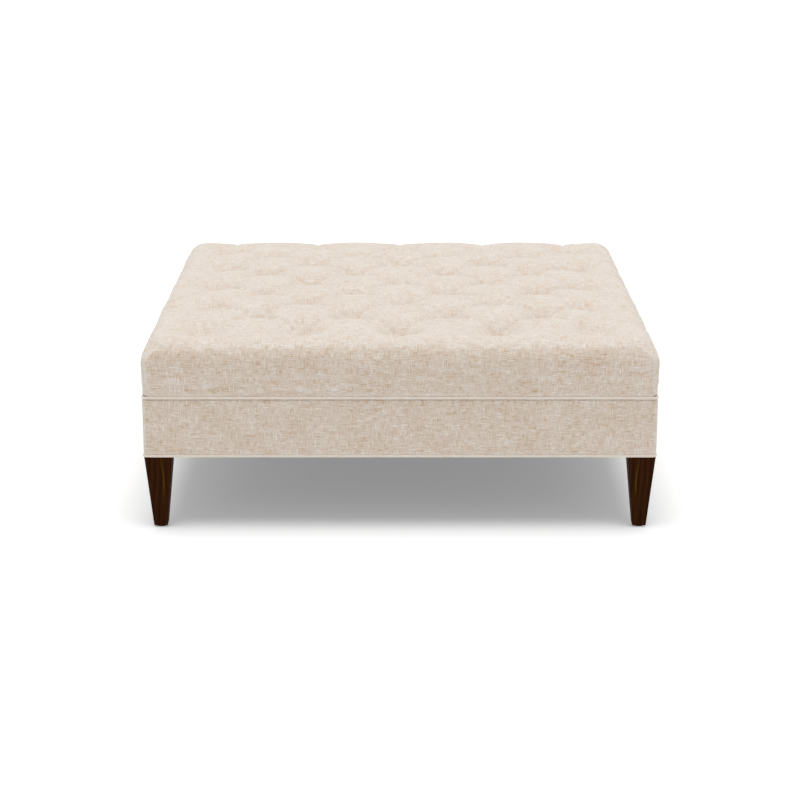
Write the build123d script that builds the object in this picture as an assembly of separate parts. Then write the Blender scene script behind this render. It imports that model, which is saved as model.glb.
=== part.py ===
from build123d import *
import os
from math import sqrt

# Square ottoman coffee table: an upholstered box with a diamond-tufted top on four tapered legs.
# Origin on the floor under the middle, X to the right, Y to the back, Z up, all lengths in mm.

# Overall plan, across the welts and the widest part of the cushion
overall_width = 1018.0
overall_depth = 1018.0

# Legs, glides and the bolts that hold the legs
leg_length = 147.0
leg_top_side = 55.0
leg_foot_side = 27.0
leg_edge_bevel = 1.2
leg_set_back = 1.4
bolt_set_in = 35.0
bolt_diameter = 7.8
bolt_depth_in_leg = 42.0
bolt_proud_of_nut = 4.0
bolt_play = 0.1
glide_thickness = 3.0
glide_diameter = 20.0
glide_nail_side = 2.6
glide_nail_length = 14.0
glide_edge = 0.8
nut_flange_across = 20.0
nut_flange_thickness = 1.6
nut_flange_sides = 6
nut_barrel_diameter = 10.0
nut_barrel_length = 12.0

# Wooden frame
rail_height = 106.0
rail_thickness = 18.0
frame_corner_bevel = 5.0
slat_thickness = 12.0
slat_gap = 12.0
cross_rail_height = 60.0
cross_rail_thickness = 18.0
cross_rail_place_share = 5 / 8
block_leg = 95.0
block_end = 20.0
block_height = 40.0
cut_over = 5.0

# Upholstery of the band
fabric_thickness = 1.0
band_inset = 1.5
band_corner_radius = 8.0
welt_diameter = 5.5
welt_corner_radius = 10.0
welt_sides = 8
welt_gap = 0.3
hem_width = 16.0
tack_strip_width = 12.0
tack_strip_thickness = 1.2
tack_strip_end_gap = 10.0
dust_cover_thickness = 0.8
dust_cover_margin = 12.0
dust_cover_leg_gap = 4.0

# Cushion: foam slab and the tufted cover with its wadding
foam_thickness = 81.0
cushion_height = 121.0
foam_side_cover = 12.0
foam_corner_radius = 14.0
foam_fit = 0.3
seam_draw = 2.1
bulge_height = 61.0
cushion_corner_radius = 16.0
corner_cut = 12.0
roll_radius = 44.0

# Tufting: columns and rows of tufts on the edges, with as many between them on the half pitch
tufts_across = 5
tufts_deep = 5
tuft_margin = 116.6
tuft_depth = 30.0
tuft_seat_radius = 4.0
tuft_mouth_radius = 62.0
tuft_flank_bulge = 6.0
tuft_runs = 4
channel_depth = 14.0
channel_half_width = 62.0
channel_flank_bulge = 2.6
crease_seat = 0.5
pleat_depth = 8.0
pleat_half_width = 80.0
pleat_flank_bulge = 1.6

# Twines that hold the tufts down, and what holds the twines
twine_width = 3.0
twine_thickness = 1.0
twine_tail = 16.0
twine_play = 0.3
staple_crown = 10.0
staple_wire = 1.2
staple_leg = 9.0
staple_from_twine = 11.0

# Levels, from the floor up
leg_foot_z = glide_thickness
leg_top_z = leg_foot_z + leg_length
rail_bottom_z = leg_top_z + fabric_thickness
rail_top_z = rail_bottom_z + rail_height
deck_top_z = rail_top_z + slat_thickness
foam_top_z = deck_top_z + foam_thickness
crest_z = deck_top_z + cushion_height
block_top_z = leg_top_z + block_height

# Insets from the widest outline: behind the welts lie a gap, then the fabric, then the wood
welt_radius = welt_diameter / 2
behind_welt = welt_diameter + welt_gap
padding_inset = band_inset + fabric_thickness
behind_welt_radius = welt_corner_radius - welt_radius - welt_gap
rail_inset = behind_welt + fabric_thickness
inner_inset = rail_inset + rail_thickness
leg_inset = band_inset + leg_set_back
foam_inset = seam_draw + foam_side_cover
tail_bottom_z = rail_top_z - twine_thickness
staple_bottom_z = tail_bottom_z - staple_wire
bolt_bore = bolt_diameter + 2 * bolt_play

corners = {"front_left": (-1, -1), "front_right": (1, -1), "back_left": (-1, 1), "back_right": (1, 1)}


def half(inset):
    """Half width and half depth of a plan that lies this far inside the widest outline."""
    return overall_width / 2 - inset, overall_depth / 2 - inset


def plan(inset, radius, z):
    """Rounded rectangle at height z."""
    half_x, half_y = half(inset)
    return Plane.XY.offset(z) * RectangleRounded(2 * half_x, 2 * half_y, radius)


def slab(inset, radius, z_low, z_high):
    """Rounded slab between two heights."""
    return extrude(plan(inset, radius, z_low), z_high - z_low)


def box_between(x_low, x_high, y_low, y_high, z_low, z_high):
    """Square-cornered board given by its limits."""
    size = (x_high - x_low, y_high - y_low, z_high - z_low)
    return Pos(x_low, y_low, z_low) * Box(*size, align=Align.MIN)


def block_between(inset, z_low, z_high):
    """Square-cornered slab between two heights."""
    half_x, half_y = half(inset)
    return box_between(-half_x, half_x, -half_y, half_y, z_low, z_high)


def frame_core(z_low, z_high):
    """Everything inside the outer faces of the wooden frame, its upright corners bevelled."""
    core = block_between(rail_inset, z_low, z_high)
    return chamfer(core.edges().filter_by(Axis.Z), frame_corner_bevel)


def rod(x, y, z_low, z_high, diameter):
    """Upright round bar."""
    height = z_high - z_low
    return Pos(x, y, z_low + height / 2) * Cylinder(diameter / 2, height)


def at_corner(shape, corner):
    """Copy of a shape made for the back right corner, mirrored to another corner."""
    if corner[0] < 0:
        shape = mirror(shape, about=Plane.YZ)
    if corner[1] < 0:
        shape = mirror(shape, about=Plane.XZ)
    return shape


# Tufts stand on a lattice of half pitches; those with both indices odd lie between the others.
last_column = 2 * (tufts_across - 1)
last_row = 2 * (tufts_deep - 1)


def tuft_point(column, row):
    """Plan position of the lattice point."""
    half_x, half_y = half(tuft_margin)
    return Vector(half_x * (2 * column / last_column - 1), half_y * (2 * row / last_row - 1))


def tuft_points():
    """Plan positions of all tufts, row by row."""
    lattice = [(c, r) for r in range(last_row + 1) for c in range(last_column + 1)]
    return [tuft_point(c, r) for c, r in lattice if c % 2 == r % 2]


def channel_ends():
    """Both ends of each sewn channel: the diagonals from one edge of the tufting to another."""
    starts = [(c, 0) for c in range(0, last_column, 2)] + [(0, r) for r in range(2, last_row, 2)]
    ends = []
    for column, row in starts:
        run = min(last_column - column, last_row - row)
        ends.append((tuft_point(column, row), tuft_point(column + run, row + run)))
        mirrored = last_column - column
        ends.append((tuft_point(mirrored, row), tuft_point(mirrored - run, row + run)))
    return ends


def pleat_ends():
    """Start and end of each straight pleat, from an edge tuft out past the side of the cushion."""
    over = Vector(tuft_margin + cut_over, 0)
    back = Vector(0, tuft_margin + cut_over)
    ends = []
    for row in range(0, last_row + 1, 2):
        ends.append((tuft_point(0, row), tuft_point(0, row) - over))
        ends.append((tuft_point(last_column, row), tuft_point(last_column, row) + over))
    for column in range(0, last_column + 1, 2):
        ends.append((tuft_point(column, 0), tuft_point(column, 0) - back))
        ends.append((tuft_point(column, last_row), tuft_point(column, last_row) + back))
    return ends


def crease_profile(half_width, depth, seat, bulge):
    """Section of a crease under the crest: two domed flanks that fall to a flat seat."""
    left = SagittaArc((-half_width, 0), (-seat, -depth), bulge)
    right = SagittaArc((seat, -depth), (half_width, 0), bulge)
    bottom = Line((-seat, -depth), (seat, -depth))
    rim = Polyline((half_width, 0), (half_width, cut_over), (-half_width, cut_over), (-half_width, 0))
    return make_face([left, bottom, right, rim])


def crease(ends, profile):
    """Cutter for a crease run level between two points."""
    start, end = ends
    along = (end - start).normalized()
    across = Vector(-along.Y, along.X)
    section = Plane(origin=Vector(start.X, start.Y, crest_z), x_dir=across, z_dir=along)
    return extrude(section * profile, (end - start).length, dir=along)


def dimple():
    """Cutter for one tuft: a funnel where creases in several directions meet."""
    profile = crease_profile(tuft_mouth_radius, tuft_depth, tuft_seat_radius, tuft_flank_bulge)
    run = Pos(0, 0, crest_z) * extrude(Plane.XZ * profile, 2 * tuft_mouth_radius, both=True)
    funnel = run
    for turn in range(1, tuft_runs):
        funnel &= Rot(Z=180 * turn / tuft_runs) * run
    return funnel


def cushion_profile(reach):
    """Cross-section of the cushion with this half width: drawn in at the seam, rolled over at the top."""
    seam = (reach - seam_draw, deck_top_z)
    full_z = deck_top_z + bulge_height
    roll_z = crest_z - roll_radius
    draw_radius = (bulge_height**2 + seam_draw**2) / (2 * seam_draw)
    side = RadiusArc((reach, full_z), seam, draw_radius)
    upright = Line((reach, roll_z), (reach, full_z))
    roll = CenterArc((reach - roll_radius, roll_z), roll_radius, 0, 90)
    right = [side, upright, roll]
    left = [mirror(edge, about=Plane.YZ) for edge in right]
    bottom = Line((-seam[0], deck_top_z), seam)
    top = Line((roll_radius - reach, crest_z), (reach - roll_radius, crest_z))
    return make_face([*right, *left, bottom, top])


def cushion_run(reach, turn, length):
    """Cushion's cross-section run level through the middle, turned about the upright axis."""
    section = Rot(Z=turn) * (Plane.XZ * cushion_profile(reach))
    return extrude(section, length, both=True)


def cushion_body():
    """Cushion before tufting: where its runs both ways and across both corners meet."""
    half_x, half_y = half(0)
    over = half_x + half_y
    corner_reach = (half_x + half_y - corner_cut) / sqrt(2)
    body = slab(0, cushion_corner_radius, deck_top_z - cut_over, crest_z + cut_over)
    body &= cushion_run(half_x, 0, over)
    body &= cushion_run(half_y, 90, over)
    body &= cushion_run(corner_reach, 45, over)
    return body & cushion_run(corner_reach, -45, over)


def tufting_tools():
    """All cutters that shape the tufted face."""
    channel = crease_profile(channel_half_width, channel_depth, crease_seat, channel_flank_bulge)
    pleat = crease_profile(pleat_half_width, pleat_depth, crease_seat, pleat_flank_bulge)
    funnel = dimple()
    tools = [crease(ends, channel) for ends in channel_ends()]
    tools += [crease(ends, pleat) for ends in pleat_ends()]
    return tools + [Pos(point.X, point.Y, 0) * funnel for point in tuft_points()]


def make_top_cover():
    """Tufted cover with its wadding, hollow below for the foam and stepped at the seam for the welt."""
    hollow = slab(foam_inset - foam_fit, foam_corner_radius + foam_fit, deck_top_z - cut_over, foam_top_z)
    step_top_z = deck_top_z + behind_welt
    step = block_between(-cut_over, deck_top_z - cut_over, step_top_z)
    step -= slab(behind_welt, behind_welt_radius, deck_top_z - cut_over, step_top_z)
    return cushion_body() - tufting_tools() - hollow - step


def make_foam_core():
    """Foam slab on the deck, slit for each twine."""
    wide = twine_width / 2 + twine_play
    thick = twine_thickness / 2 + twine_play
    low_z = deck_top_z - cut_over
    high_z = foam_top_z + cut_over
    slit = box_between(-wide, wide, -thick, thick, low_z, high_z)
    slits = [Pos(p.X, p.Y, 0) * slit for p in tuft_points()]
    return slab(foam_inset, foam_corner_radius, deck_top_z, foam_top_z) - slits


def make_twines():
    """Flat twines, each from under the cover down through foam and deck, its tail turned along the deck."""
    wide = twine_width / 2
    thick = twine_thickness / 2
    twines = []
    for p in tuft_points():
        drop = box_between(p.X - wide, p.X + wide, p.Y - thick, p.Y + thick, tail_bottom_z, foam_top_z)
        tail = box_between(p.X - wide, p.X + wide, p.Y, p.Y + twine_tail, tail_bottom_z, rail_top_z)
        twines += (drop + tail).solids()
    return Compound(twines)


def make_tuft_staples():
    """One staple across each twine tail, driven up into the deck."""
    reach = staple_crown / 2
    thick = staple_wire / 2
    outline = Polyline(
        (-reach, 0),
        (reach, 0),
        (reach, staple_leg),
        (reach - staple_wire, staple_leg),
        (reach - staple_wire, staple_wire),
        (staple_wire - reach, staple_wire),
        (staple_wire - reach, staple_leg),
        (-reach, staple_leg),
        close=True,
    )
    staple = Pos(0, thick, staple_bottom_z) * extrude(Plane.XZ * make_face(outline), staple_wire)
    return Compound([(Pos(p.X, p.Y + staple_from_twine, 0) * staple).solid() for p in tuft_points()])


def make_deck_slats(staples):
    """Boards across the frame under the foam; the gaps between them lie under the rows of twines."""
    half_x, half_y = half(rail_inset)
    core = frame_core(rail_top_z, deck_top_z)
    rows = [tuft_point(0, row).Y for row in range(last_row + 1)]
    fronts = [-half_y] + [y + slat_gap / 2 for y in rows]
    backs = [y - slat_gap / 2 for y in rows] + [half_y]
    slats = {}
    for number, (front, back) in enumerate(zip(fronts, backs), start=1):
        board = box_between(-half_x, half_x, front, back, rail_top_z, deck_top_z)
        slats[f"deck_slat_{number}"] = (board & core) - staples.solids()
    return slats


def make_rails():
    """Front and back rails run full length; the side rails butt between them."""
    half_x, half_y = half(rail_inset)
    inner_x, inner_y = half(inner_inset)
    front = box_between(-half_x, half_x, -half_y, -inner_y, rail_bottom_z, rail_top_z)
    front &= frame_core(rail_bottom_z, rail_top_z)
    right = box_between(inner_x, half_x, -inner_y, inner_y, rail_bottom_z, rail_top_z)
    return {
        "rail_front": front,
        "rail_back": mirror(front, about=Plane.XZ),
        "rail_left": mirror(right, about=Plane.YZ),
        "rail_right": right,
    }


def make_cross_rail(side):
    """Rail that carries the deck between the front and back rails, midway between two columns of tufts."""
    column = int(cross_rail_place_share * last_column)
    middle = side * (tuft_point(column, 0).X + tuft_point(column + 1, 0).X) / 2
    thick = cross_rail_thickness / 2
    inner_y = half(inner_inset)[1]
    low_z = rail_top_z - cross_rail_height
    return box_between(middle - thick, middle + thick, -inner_y, inner_y, low_z, rail_top_z)


def make_corner_block():
    """Back right corner block, bored for the bolt and its nut."""
    inner_x, inner_y = half(inner_inset)
    outline = Polyline(
        (inner_x, inner_y),
        (inner_x - block_leg, inner_y),
        (inner_x - block_leg, inner_y - block_end),
        (inner_x - block_end, inner_y - block_leg),
        (inner_x, inner_y - block_leg),
        close=True,
    )
    block = extrude(Plane.XY.offset(leg_top_z) * make_face(outline), block_height)
    bolt_x, bolt_y = half(leg_inset + bolt_set_in)
    return block - rod(bolt_x, bolt_y, leg_top_z - cut_over, block_top_z + cut_over, nut_barrel_diameter)


def leg_nail():
    """Nail of the back right glide."""
    centre_x, centre_y = half(leg_inset + leg_top_side / 2)
    nail = Box(glide_nail_side, glide_nail_side, glide_nail_length)
    return Pos(centre_x, centre_y, leg_foot_z + glide_nail_length / 2) * nail


def make_leg():
    """Back right leg: a square taper on all four sides, bored for its bolt and pierced by its glide's nail."""
    foot = leg_foot_side / 2
    top = leg_top_side / 2
    outline = Polyline((-foot, leg_foot_z), (foot, leg_foot_z), (top, leg_top_z), (-top, leg_top_z), close=True)
    run = extrude(Plane.XZ * make_face(outline), leg_top_side, both=True)
    leg = run & Rot(Z=90) * run
    leg = chamfer(leg.edges().filter_by(Axis.X, reverse=True).filter_by(Axis.Y, reverse=True), leg_edge_bevel)
    centre_x, centre_y = half(leg_inset + leg_top_side / 2)
    bolt_x, bolt_y = half(leg_inset + bolt_set_in)
    bore = rod(bolt_x, bolt_y, leg_top_z - bolt_depth_in_leg, leg_top_z + cut_over, bolt_bore)
    return Pos(centre_x, centre_y, 0) * leg - bore - leg_nail()


def make_leg_glides():
    """Chamfered discs under the legs, each with its nail."""
    centre_x, centre_y = half(leg_inset + leg_top_side / 2)
    disc = rod(centre_x, centre_y, 0, leg_foot_z, glide_diameter)
    glide = chamfer(disc.edges().sort_by(Axis.Z)[0], glide_edge) + leg_nail()
    return Compound([at_corner(glide, corner).solid() for corner in corners.values()])


def make_hanger_bolts():
    """Bolts that join the legs to the blocks."""
    x, y = half(leg_inset + bolt_set_in)
    top_z = block_top_z + nut_flange_thickness + bolt_proud_of_nut
    bolt = rod(x, y, leg_top_z - bolt_depth_in_leg, top_z, bolt_diameter)
    return Compound([at_corner(bolt, corner).solid() for corner in corners.values()])


def make_tee_nuts():
    """Flanged nuts let into the top of the blocks."""
    x, y = half(leg_inset + bolt_set_in)
    hexagon = RegularPolygon(nut_flange_across / 2, nut_flange_sides, major_radius=False)
    flange = Pos(x, y, block_top_z) * hexagon
    nut = extrude(flange, nut_flange_thickness)
    nut += rod(x, y, block_top_z - nut_barrel_length, block_top_z, nut_barrel_diameter)
    nut -= rod(x, y, block_top_z - nut_barrel_length, block_top_z + nut_flange_thickness, bolt_bore)
    return Compound([at_corner(nut, corner).solid() for corner in corners.values()])


def make_welt(low_z):
    """Piping round the body, its underside at this height."""
    path = plan(welt_radius, welt_corner_radius, low_z + welt_radius).wire()
    round_section = RegularPolygon(welt_radius, welt_sides, major_radius=False, rotation=180 / welt_sides)
    return sweep(Plane(origin=path @ 0, z_dir=path % 0) * round_section, path=path)


def make_tack_strips():
    """Card strips on the edge of the deck that keep the top of the band straight."""
    half_x, half_y = half(rail_inset)
    low_z = deck_top_z - tack_strip_width
    run_x = half_x - tack_strip_end_gap
    run_y = half_y - tack_strip_end_gap
    front = box_between(-run_x, run_x, -half_y - tack_strip_thickness, -half_y, low_z, deck_top_z)
    right = box_between(half_x, half_x + tack_strip_thickness, -run_y, run_y, low_z, deck_top_z)
    return {
        "tack_strip_front": front,
        "tack_strip_back": mirror(front, about=Plane.XZ),
        "tack_strip_left": mirror(right, about=Plane.YZ),
        "tack_strip_right": right,
    }


def make_band_cover():
    """Fabric of the band, between the two welts."""
    low_z = leg_top_z + welt_diameter
    cover = slab(band_inset, band_corner_radius, low_z, deck_top_z)
    return cover - slab(padding_inset, band_corner_radius - fabric_thickness, low_z, deck_top_z)


def make_band_padding(strips):
    """Wadding between the rails and the fabric of the band."""
    low_z = leg_top_z + behind_welt
    padding = slab(padding_inset, band_corner_radius - fabric_thickness, low_z, deck_top_z)
    return padding - frame_core(low_z, deck_top_z) - list(strips.values())


def make_bottom_hem():
    """Lower edge of the band fabric: up behind the welt, and turned in under the rails."""
    top_z = leg_top_z + behind_welt
    hem = slab(behind_welt, behind_welt_radius, leg_top_z, top_z)
    hem -= frame_core(rail_bottom_z, top_z)
    return hem - block_between(rail_inset + hem_width, leg_top_z, rail_bottom_z)


def make_dust_cover():
    """Cloth that closes the underside, cut out round the legs."""
    low_z = leg_top_z - dust_cover_thickness
    half_x, half_y = half(band_inset + dust_cover_margin)
    notch_x, notch_y = half(leg_inset + leg_top_side + dust_cover_leg_gap)
    wide = box_between(-half_x, half_x, -notch_y, notch_y, low_z, leg_top_z)
    return wide + box_between(-notch_x, notch_x, -half_y, half_y, low_z, leg_top_z)


def save(name, shape):
    """Write one node."""
    export_step(shape, f"parts/{name}.step")


def main():
    os.makedirs("parts", exist_ok=True)
    nodes = make_rails()
    nodes["cross_rail_left"] = make_cross_rail(-1)
    nodes["cross_rail_right"] = make_cross_rail(1)
    corner_pieces = {"corner_block": make_corner_block(), "leg": make_leg()}
    for piece, shape in corner_pieces.items():
        for place, corner in corners.items():
            nodes[f"{piece}_{place}"] = at_corner(shape, corner)
    strips = make_tack_strips()
    staples = make_tuft_staples()
    nodes.update(strips)
    nodes["leg_glides"] = make_leg_glides()
    nodes["hanger_bolts"] = make_hanger_bolts()
    nodes["tee_nuts"] = make_tee_nuts()
    nodes.update(make_deck_slats(staples))
    nodes["tuft_staples"] = staples
    nodes["tuft_twines"] = make_twines()
    nodes["foam_core"] = make_foam_core()
    nodes["band_padding"] = make_band_padding(strips)
    nodes["band_cover"] = make_band_cover()
    nodes["bottom_hem"] = make_bottom_hem()
    nodes["dust_cover"] = make_dust_cover()
    nodes["lower_welt"] = make_welt(leg_top_z)
    nodes["upper_welt"] = make_welt(deck_top_z)
    nodes["top_cover"] = make_top_cover()
    for name, shape in nodes.items():
        save(name, shape)


main()
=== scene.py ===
import logging
import math
from dataclasses import dataclass
from enum import Enum
from typing import Sequence

import bmesh
import bpy
import numpy as np
from mathutils import Matrix, Vector


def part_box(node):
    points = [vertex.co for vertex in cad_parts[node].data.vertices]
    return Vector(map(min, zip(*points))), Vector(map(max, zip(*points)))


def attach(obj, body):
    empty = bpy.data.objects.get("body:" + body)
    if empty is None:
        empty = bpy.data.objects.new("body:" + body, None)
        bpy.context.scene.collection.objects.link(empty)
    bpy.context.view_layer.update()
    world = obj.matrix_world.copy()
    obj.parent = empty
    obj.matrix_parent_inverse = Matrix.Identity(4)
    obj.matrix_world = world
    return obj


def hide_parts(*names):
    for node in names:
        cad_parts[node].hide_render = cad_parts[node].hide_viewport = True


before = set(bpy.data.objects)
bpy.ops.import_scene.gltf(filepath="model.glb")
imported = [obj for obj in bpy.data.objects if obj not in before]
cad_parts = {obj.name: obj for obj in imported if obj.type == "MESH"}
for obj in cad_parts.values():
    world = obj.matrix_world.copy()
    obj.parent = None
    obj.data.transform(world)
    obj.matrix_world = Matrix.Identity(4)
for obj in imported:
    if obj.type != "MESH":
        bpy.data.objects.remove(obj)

LOG = logging.getLogger("ottoman")
ROOT = "root"
CLOTH_MAP = "cloth_metres"
WEAR_LAYER = "edge_wear"
MM = 0.001
CORNERS = {"front_left": (-1, -1), "front_right": (1, -1), "back_left": (-1, 1), "back_right": (1, 1)}

Colour = tuple[float, float, float]
Socket = bpy.types.NodeSocket


class Grain(Enum):
    """Direction in which the fibres of a wooden piece run."""

    ACROSS = (0.0, 90.0, 0.0)
    DEEP = (90.0, 0.0, 0.0)
    UP = (0.0, 0.0, 0.0)


class Cut(Enum):
    """How a cloth piece was cut: its threads square to its edges, or at 45 degrees for piping."""

    STRAIGHT = 0.0
    BIAS = 45.0


def smooth_step(value: np.ndarray, low: float, high: float) -> np.ndarray:
    """Ease from 0 at low to 1 at high.

    Args:
        value: Numbers to ease.
        low: Where the result leaves 0.
        high: Where the result reaches 1.

    Returns:
        Eased numbers between 0 and 1.
    """
    share = np.clip((value - low) / (high - low), 0.0, 1.0)
    return share * share * (3.0 - 2.0 * share)


def soft_noise(u: np.ndarray, v: np.ndarray, wavelength: float, seed: int, waves: int = 14) -> np.ndarray:
    """Smooth unevenness of about one wavelength, as a sum of plain waves in seeded directions.

    Args:
        u: First coordinate of each point.
        v: Second coordinate of each point.
        wavelength: Middle wavelength in metres.
        seed: Seed of the directions and phases.
        waves: How many waves are added.

    Returns:
        Values around 0 with a spread of about 1.
    """
    rng = np.random.default_rng(seed)
    total = np.zeros_like(u)
    for _ in range(waves):
        angle, phase = rng.uniform(0.0, 2.0 * math.pi, 2)
        turns = 2.0 * math.pi / (wavelength * rng.uniform(0.7, 1.5))
        total += np.cos(turns * (math.cos(angle) * u + math.sin(angle) * v) + phase)
    return total * math.sqrt(2.0 / waves)


def read_points(mesh: bpy.types.Mesh, normals: bool = False) -> np.ndarray:
    """Vertex places, or vertex normals, of a mesh as rows of three numbers.

    Args:
        mesh: Mesh to read.
        normals: Whether the normals are read instead of the places.

    Returns:
        One row for each vertex.
    """
    values = np.empty(3 * len(mesh.vertices), np.float32)
    if normals:
        mesh.vertex_normals.foreach_get("vector", values)
    else:
        mesh.vertices.foreach_get("co", values)
    return values.reshape(-1, 3).astype(float)


def write_points(mesh: bpy.types.Mesh, points: np.ndarray) -> None:
    """Move the vertices of a mesh to these places."""
    mesh.vertices.foreach_set("co", points.astype(np.float32).ravel())
    mesh.update()


def read_layer(mesh: bpy.types.Mesh, name: str) -> np.ndarray:
    """Values of a float layer on the vertices of a mesh.

    Args:
        mesh: Mesh to read.
        name: Name of the layer.

    Returns:
        One value for each vertex.
    """
    values = np.empty(len(mesh.vertices), np.float32)
    mesh.attributes[name].data.foreach_get("value", values)
    return values.astype(float)


def make_object(name: str, bm: bmesh.types.BMesh, smooth: bool = True) -> bpy.types.Object:
    """Turn a bmesh into an object in the scene and free it.

    Args:
        name: Name of the piece.
        bm: Finished mesh in the frame's own place.
        smooth: Whether the faces are shaded smooth.

    Returns:
        The new object, at the origin.
    """
    mesh = bpy.data.meshes.new(name)
    bm.to_mesh(mesh)
    bm.free()
    if smooth:
        mesh.shade_smooth()
    else:
        mesh.shade_flat()
    piece = bpy.data.objects.new(name, mesh)
    bpy.context.scene.collection.objects.link(piece)
    return piece


def soften_angles(piece: bpy.types.Object, angle: float = 40.0) -> None:
    """Shade faces smooth, apart from edges sharper than this angle in degrees.

    Args:
        piece: Piece to shade.
        angle: Sharpest angle in degrees that is shaded smooth.
    """
    bm = bmesh.new()
    bm.from_mesh(piece.data)
    for edge in bm.edges:
        edge.smooth = len(edge.link_faces) != 2 or edge.calc_face_angle() < math.radians(angle)
    bm.to_mesh(piece.data)
    bm.free()


def bevel_edges(bm: bmesh.types.BMesh, edges: Sequence, offset: float, segments: int) -> list:
    """Round off edges.

    Args:
        bm: Mesh that holds the edges.
        edges: Edges to round.
        offset: Width of the rounding from the edge.
        segments: Facets across the rounding.

    Returns:
        The new faces.
    """
    made = bmesh.ops.bevel(
        bm,
        geom=list(edges),
        offset=offset,
        offset_type="OFFSET",
        segments=segments,
        profile=0.5,
        affect="EDGES",
        clamp_overlap=True,
        material=-1,
    )
    return made["faces"]


def edges_along(bm: bmesh.types.BMesh, axis: int) -> list:
    """Edges of a mesh that run along an axis, 0 for X, 1 for Y and 2 for Z.

    Args:
        bm: Mesh to search.
        axis: Number of the axis.

    Returns:
        The edges found.
    """
    found = []
    for edge in bm.edges:
        run = edge.verts[1].co - edge.verts[0].co
        if run.length > 0 and abs(run[axis]) > 0.999 * run.length:
            found.append(edge)
    return found


@dataclass(frozen=True)
class Outline:
    """Rounded rectangle in plan, centred on the origin, that cloth pieces run round."""

    half_x: float
    half_y: float
    radius: float

    def length(self) -> float:
        """Distance once round the outline."""
        return 4.0 * (self.half_x + self.half_y) - (8.0 - 2.0 * math.pi) * self.radius

    def locate(self, x: float, y: float) -> tuple[float, float]:
        """Find a point's place along and across the outline.

        Args:
            x: Place to the right.
            y: Place to the back.

        Returns:
            Distance run from the middle of the back side, clockwise from above, and distance outside
            the outline.
        """
        run_x = self.half_x - self.radius
        run_y = self.half_y - self.radius
        arc = math.pi / 2.0 * self.radius
        over_x, over_y = abs(x) - run_x, abs(y) - run_y
        if over_x <= 0.0:
            quarter, out = min(abs(x), run_x), abs(y) - self.half_y
        elif over_y <= 0.0:
            quarter, out = run_x + arc + (run_y - abs(y)), abs(x) - self.half_x
        else:
            turn = math.atan2(over_x, over_y)
            quarter, out = run_x + turn * self.radius, math.hypot(over_x, over_y) - self.radius
        whole = self.length()
        if y >= 0.0:
            run = quarter if x >= 0.0 else whole - quarter
        else:
            run = whole / 2.0 - quarter if x >= 0.0 else whole / 2.0 + quarter
        return run, out

    def nearest(self, point: Vector, level: float) -> Vector:
        """Find the outline's nearest point, at a height of its own.

        Args:
            point: Point to start from.
            level: Height of the result.

        Returns:
            The nearest point of the outline at that height.
        """
        run_x, run_y = self.half_x - self.radius, self.half_y - self.radius
        centre = Vector((max(-run_x, min(run_x, point.x)), max(-run_y, min(run_y, point.y))))
        away = point.xy - centre
        if away.length < 1e-9:
            away = Vector((0.0, 1.0))
        spot = centre + away.normalized() * self.radius
        return Vector((spot.x, spot.y, level))


def map_round(bm: bmesh.types.BMesh, outline: Outline) -> None:
    """Give a piece a cloth map that follows an outline: along it by run, across it by height or reach.

    Args:
        bm: Mesh of the piece.
        outline: Outline that the piece follows.
    """
    layer = bm.loops.layers.uv.new(CLOTH_MAP)
    whole = outline.length()
    for face in bm.faces:
        middle = outline.locate(*face.calc_center_median().xy)[0]
        lying = abs(face.normal.z) > 0.7
        for loop in face.loops:
            point = loop.vert.co
            run, out = outline.locate(point.x, point.y)
            run += whole * round((middle - run) / whole)
            loop[layer].uv = (run, out if lying else point.z)


def map_flat(bm: bmesh.types.BMesh) -> None:
    """Give a mesh a cloth map in metres, each face seen square on along the axis it faces most.

    Args:
        bm: Mesh of the piece.
    """
    layer = bm.loops.layers.uv.new(CLOTH_MAP)
    for face in bm.faces:
        normal = [abs(part) for part in face.normal]
        facing = normal.index(max(normal))
        first, second = ((1, 2), (0, 2), (0, 1))[facing]
        for loop in face.loops:
            loop[layer].uv = (loop.vert.co[first], loop.vert.co[second])


def rounded_walls(outline: Outline, low: float, high: float, step: float, rows: int) -> bmesh.types.BMesh:
    """Upright wall round an outline, open at the top and the bottom.

    Args:
        outline: Plan of the wall.
        low: Height of its lower edge.
        high: Height of its upper edge.
        step: Length of a face along the straight sides.
        rows: Rows of faces up the wall.

    Returns:
        The wall as a mesh whose faces point outwards.
    """
    bm = bmesh.new()
    bmesh.ops.create_cube(bm, size=1.0)
    size = Vector((2.0 * outline.half_x, 2.0 * outline.half_y, high - low))
    bmesh.ops.scale(bm, vec=size, verts=bm.verts)
    bmesh.ops.translate(bm, vec=(0.0, 0.0, (low + high) / 2.0), verts=bm.verts)
    bm.normal_update()
    lids = [face for face in bm.faces if abs(face.normal.z) > 0.5]
    bmesh.ops.delete(bm, geom=lids, context="FACES_ONLY")
    bevel_edges(bm, edges_along(bm, 2), outline.radius, 8)
    cuts = max(1, round(2.0 * outline.half_x / step)) - 1
    for axis in (0, 1):
        bmesh.ops.subdivide_edges(bm, edges=edges_along(bm, axis), cuts=cuts, use_grid_fill=True)
    bmesh.ops.subdivide_edges(bm, edges=edges_along(bm, 2), cuts=rows - 1, use_grid_fill=True)
    bmesh.ops.recalc_face_normals(bm, faces=bm.faces)
    return bm


def extrude_rim(bm: bmesh.types.BMesh, edges: list) -> tuple[list, list]:
    """Extrude a ring of edges in place.

    Args:
        bm: Mesh that holds the edges.
        edges: Ring of edges.

    Returns:
        The new ring's edges and vertices.
    """
    made = bmesh.ops.extrude_edge_only(bm, edges=edges)["geom"]
    verts = [item for item in made if isinstance(item, bmesh.types.BMVert)]
    fresh = set(verts)
    rim = [item for item in made if isinstance(item, bmesh.types.BMEdge) and set(item.verts) <= fresh]
    return rim, verts


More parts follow.
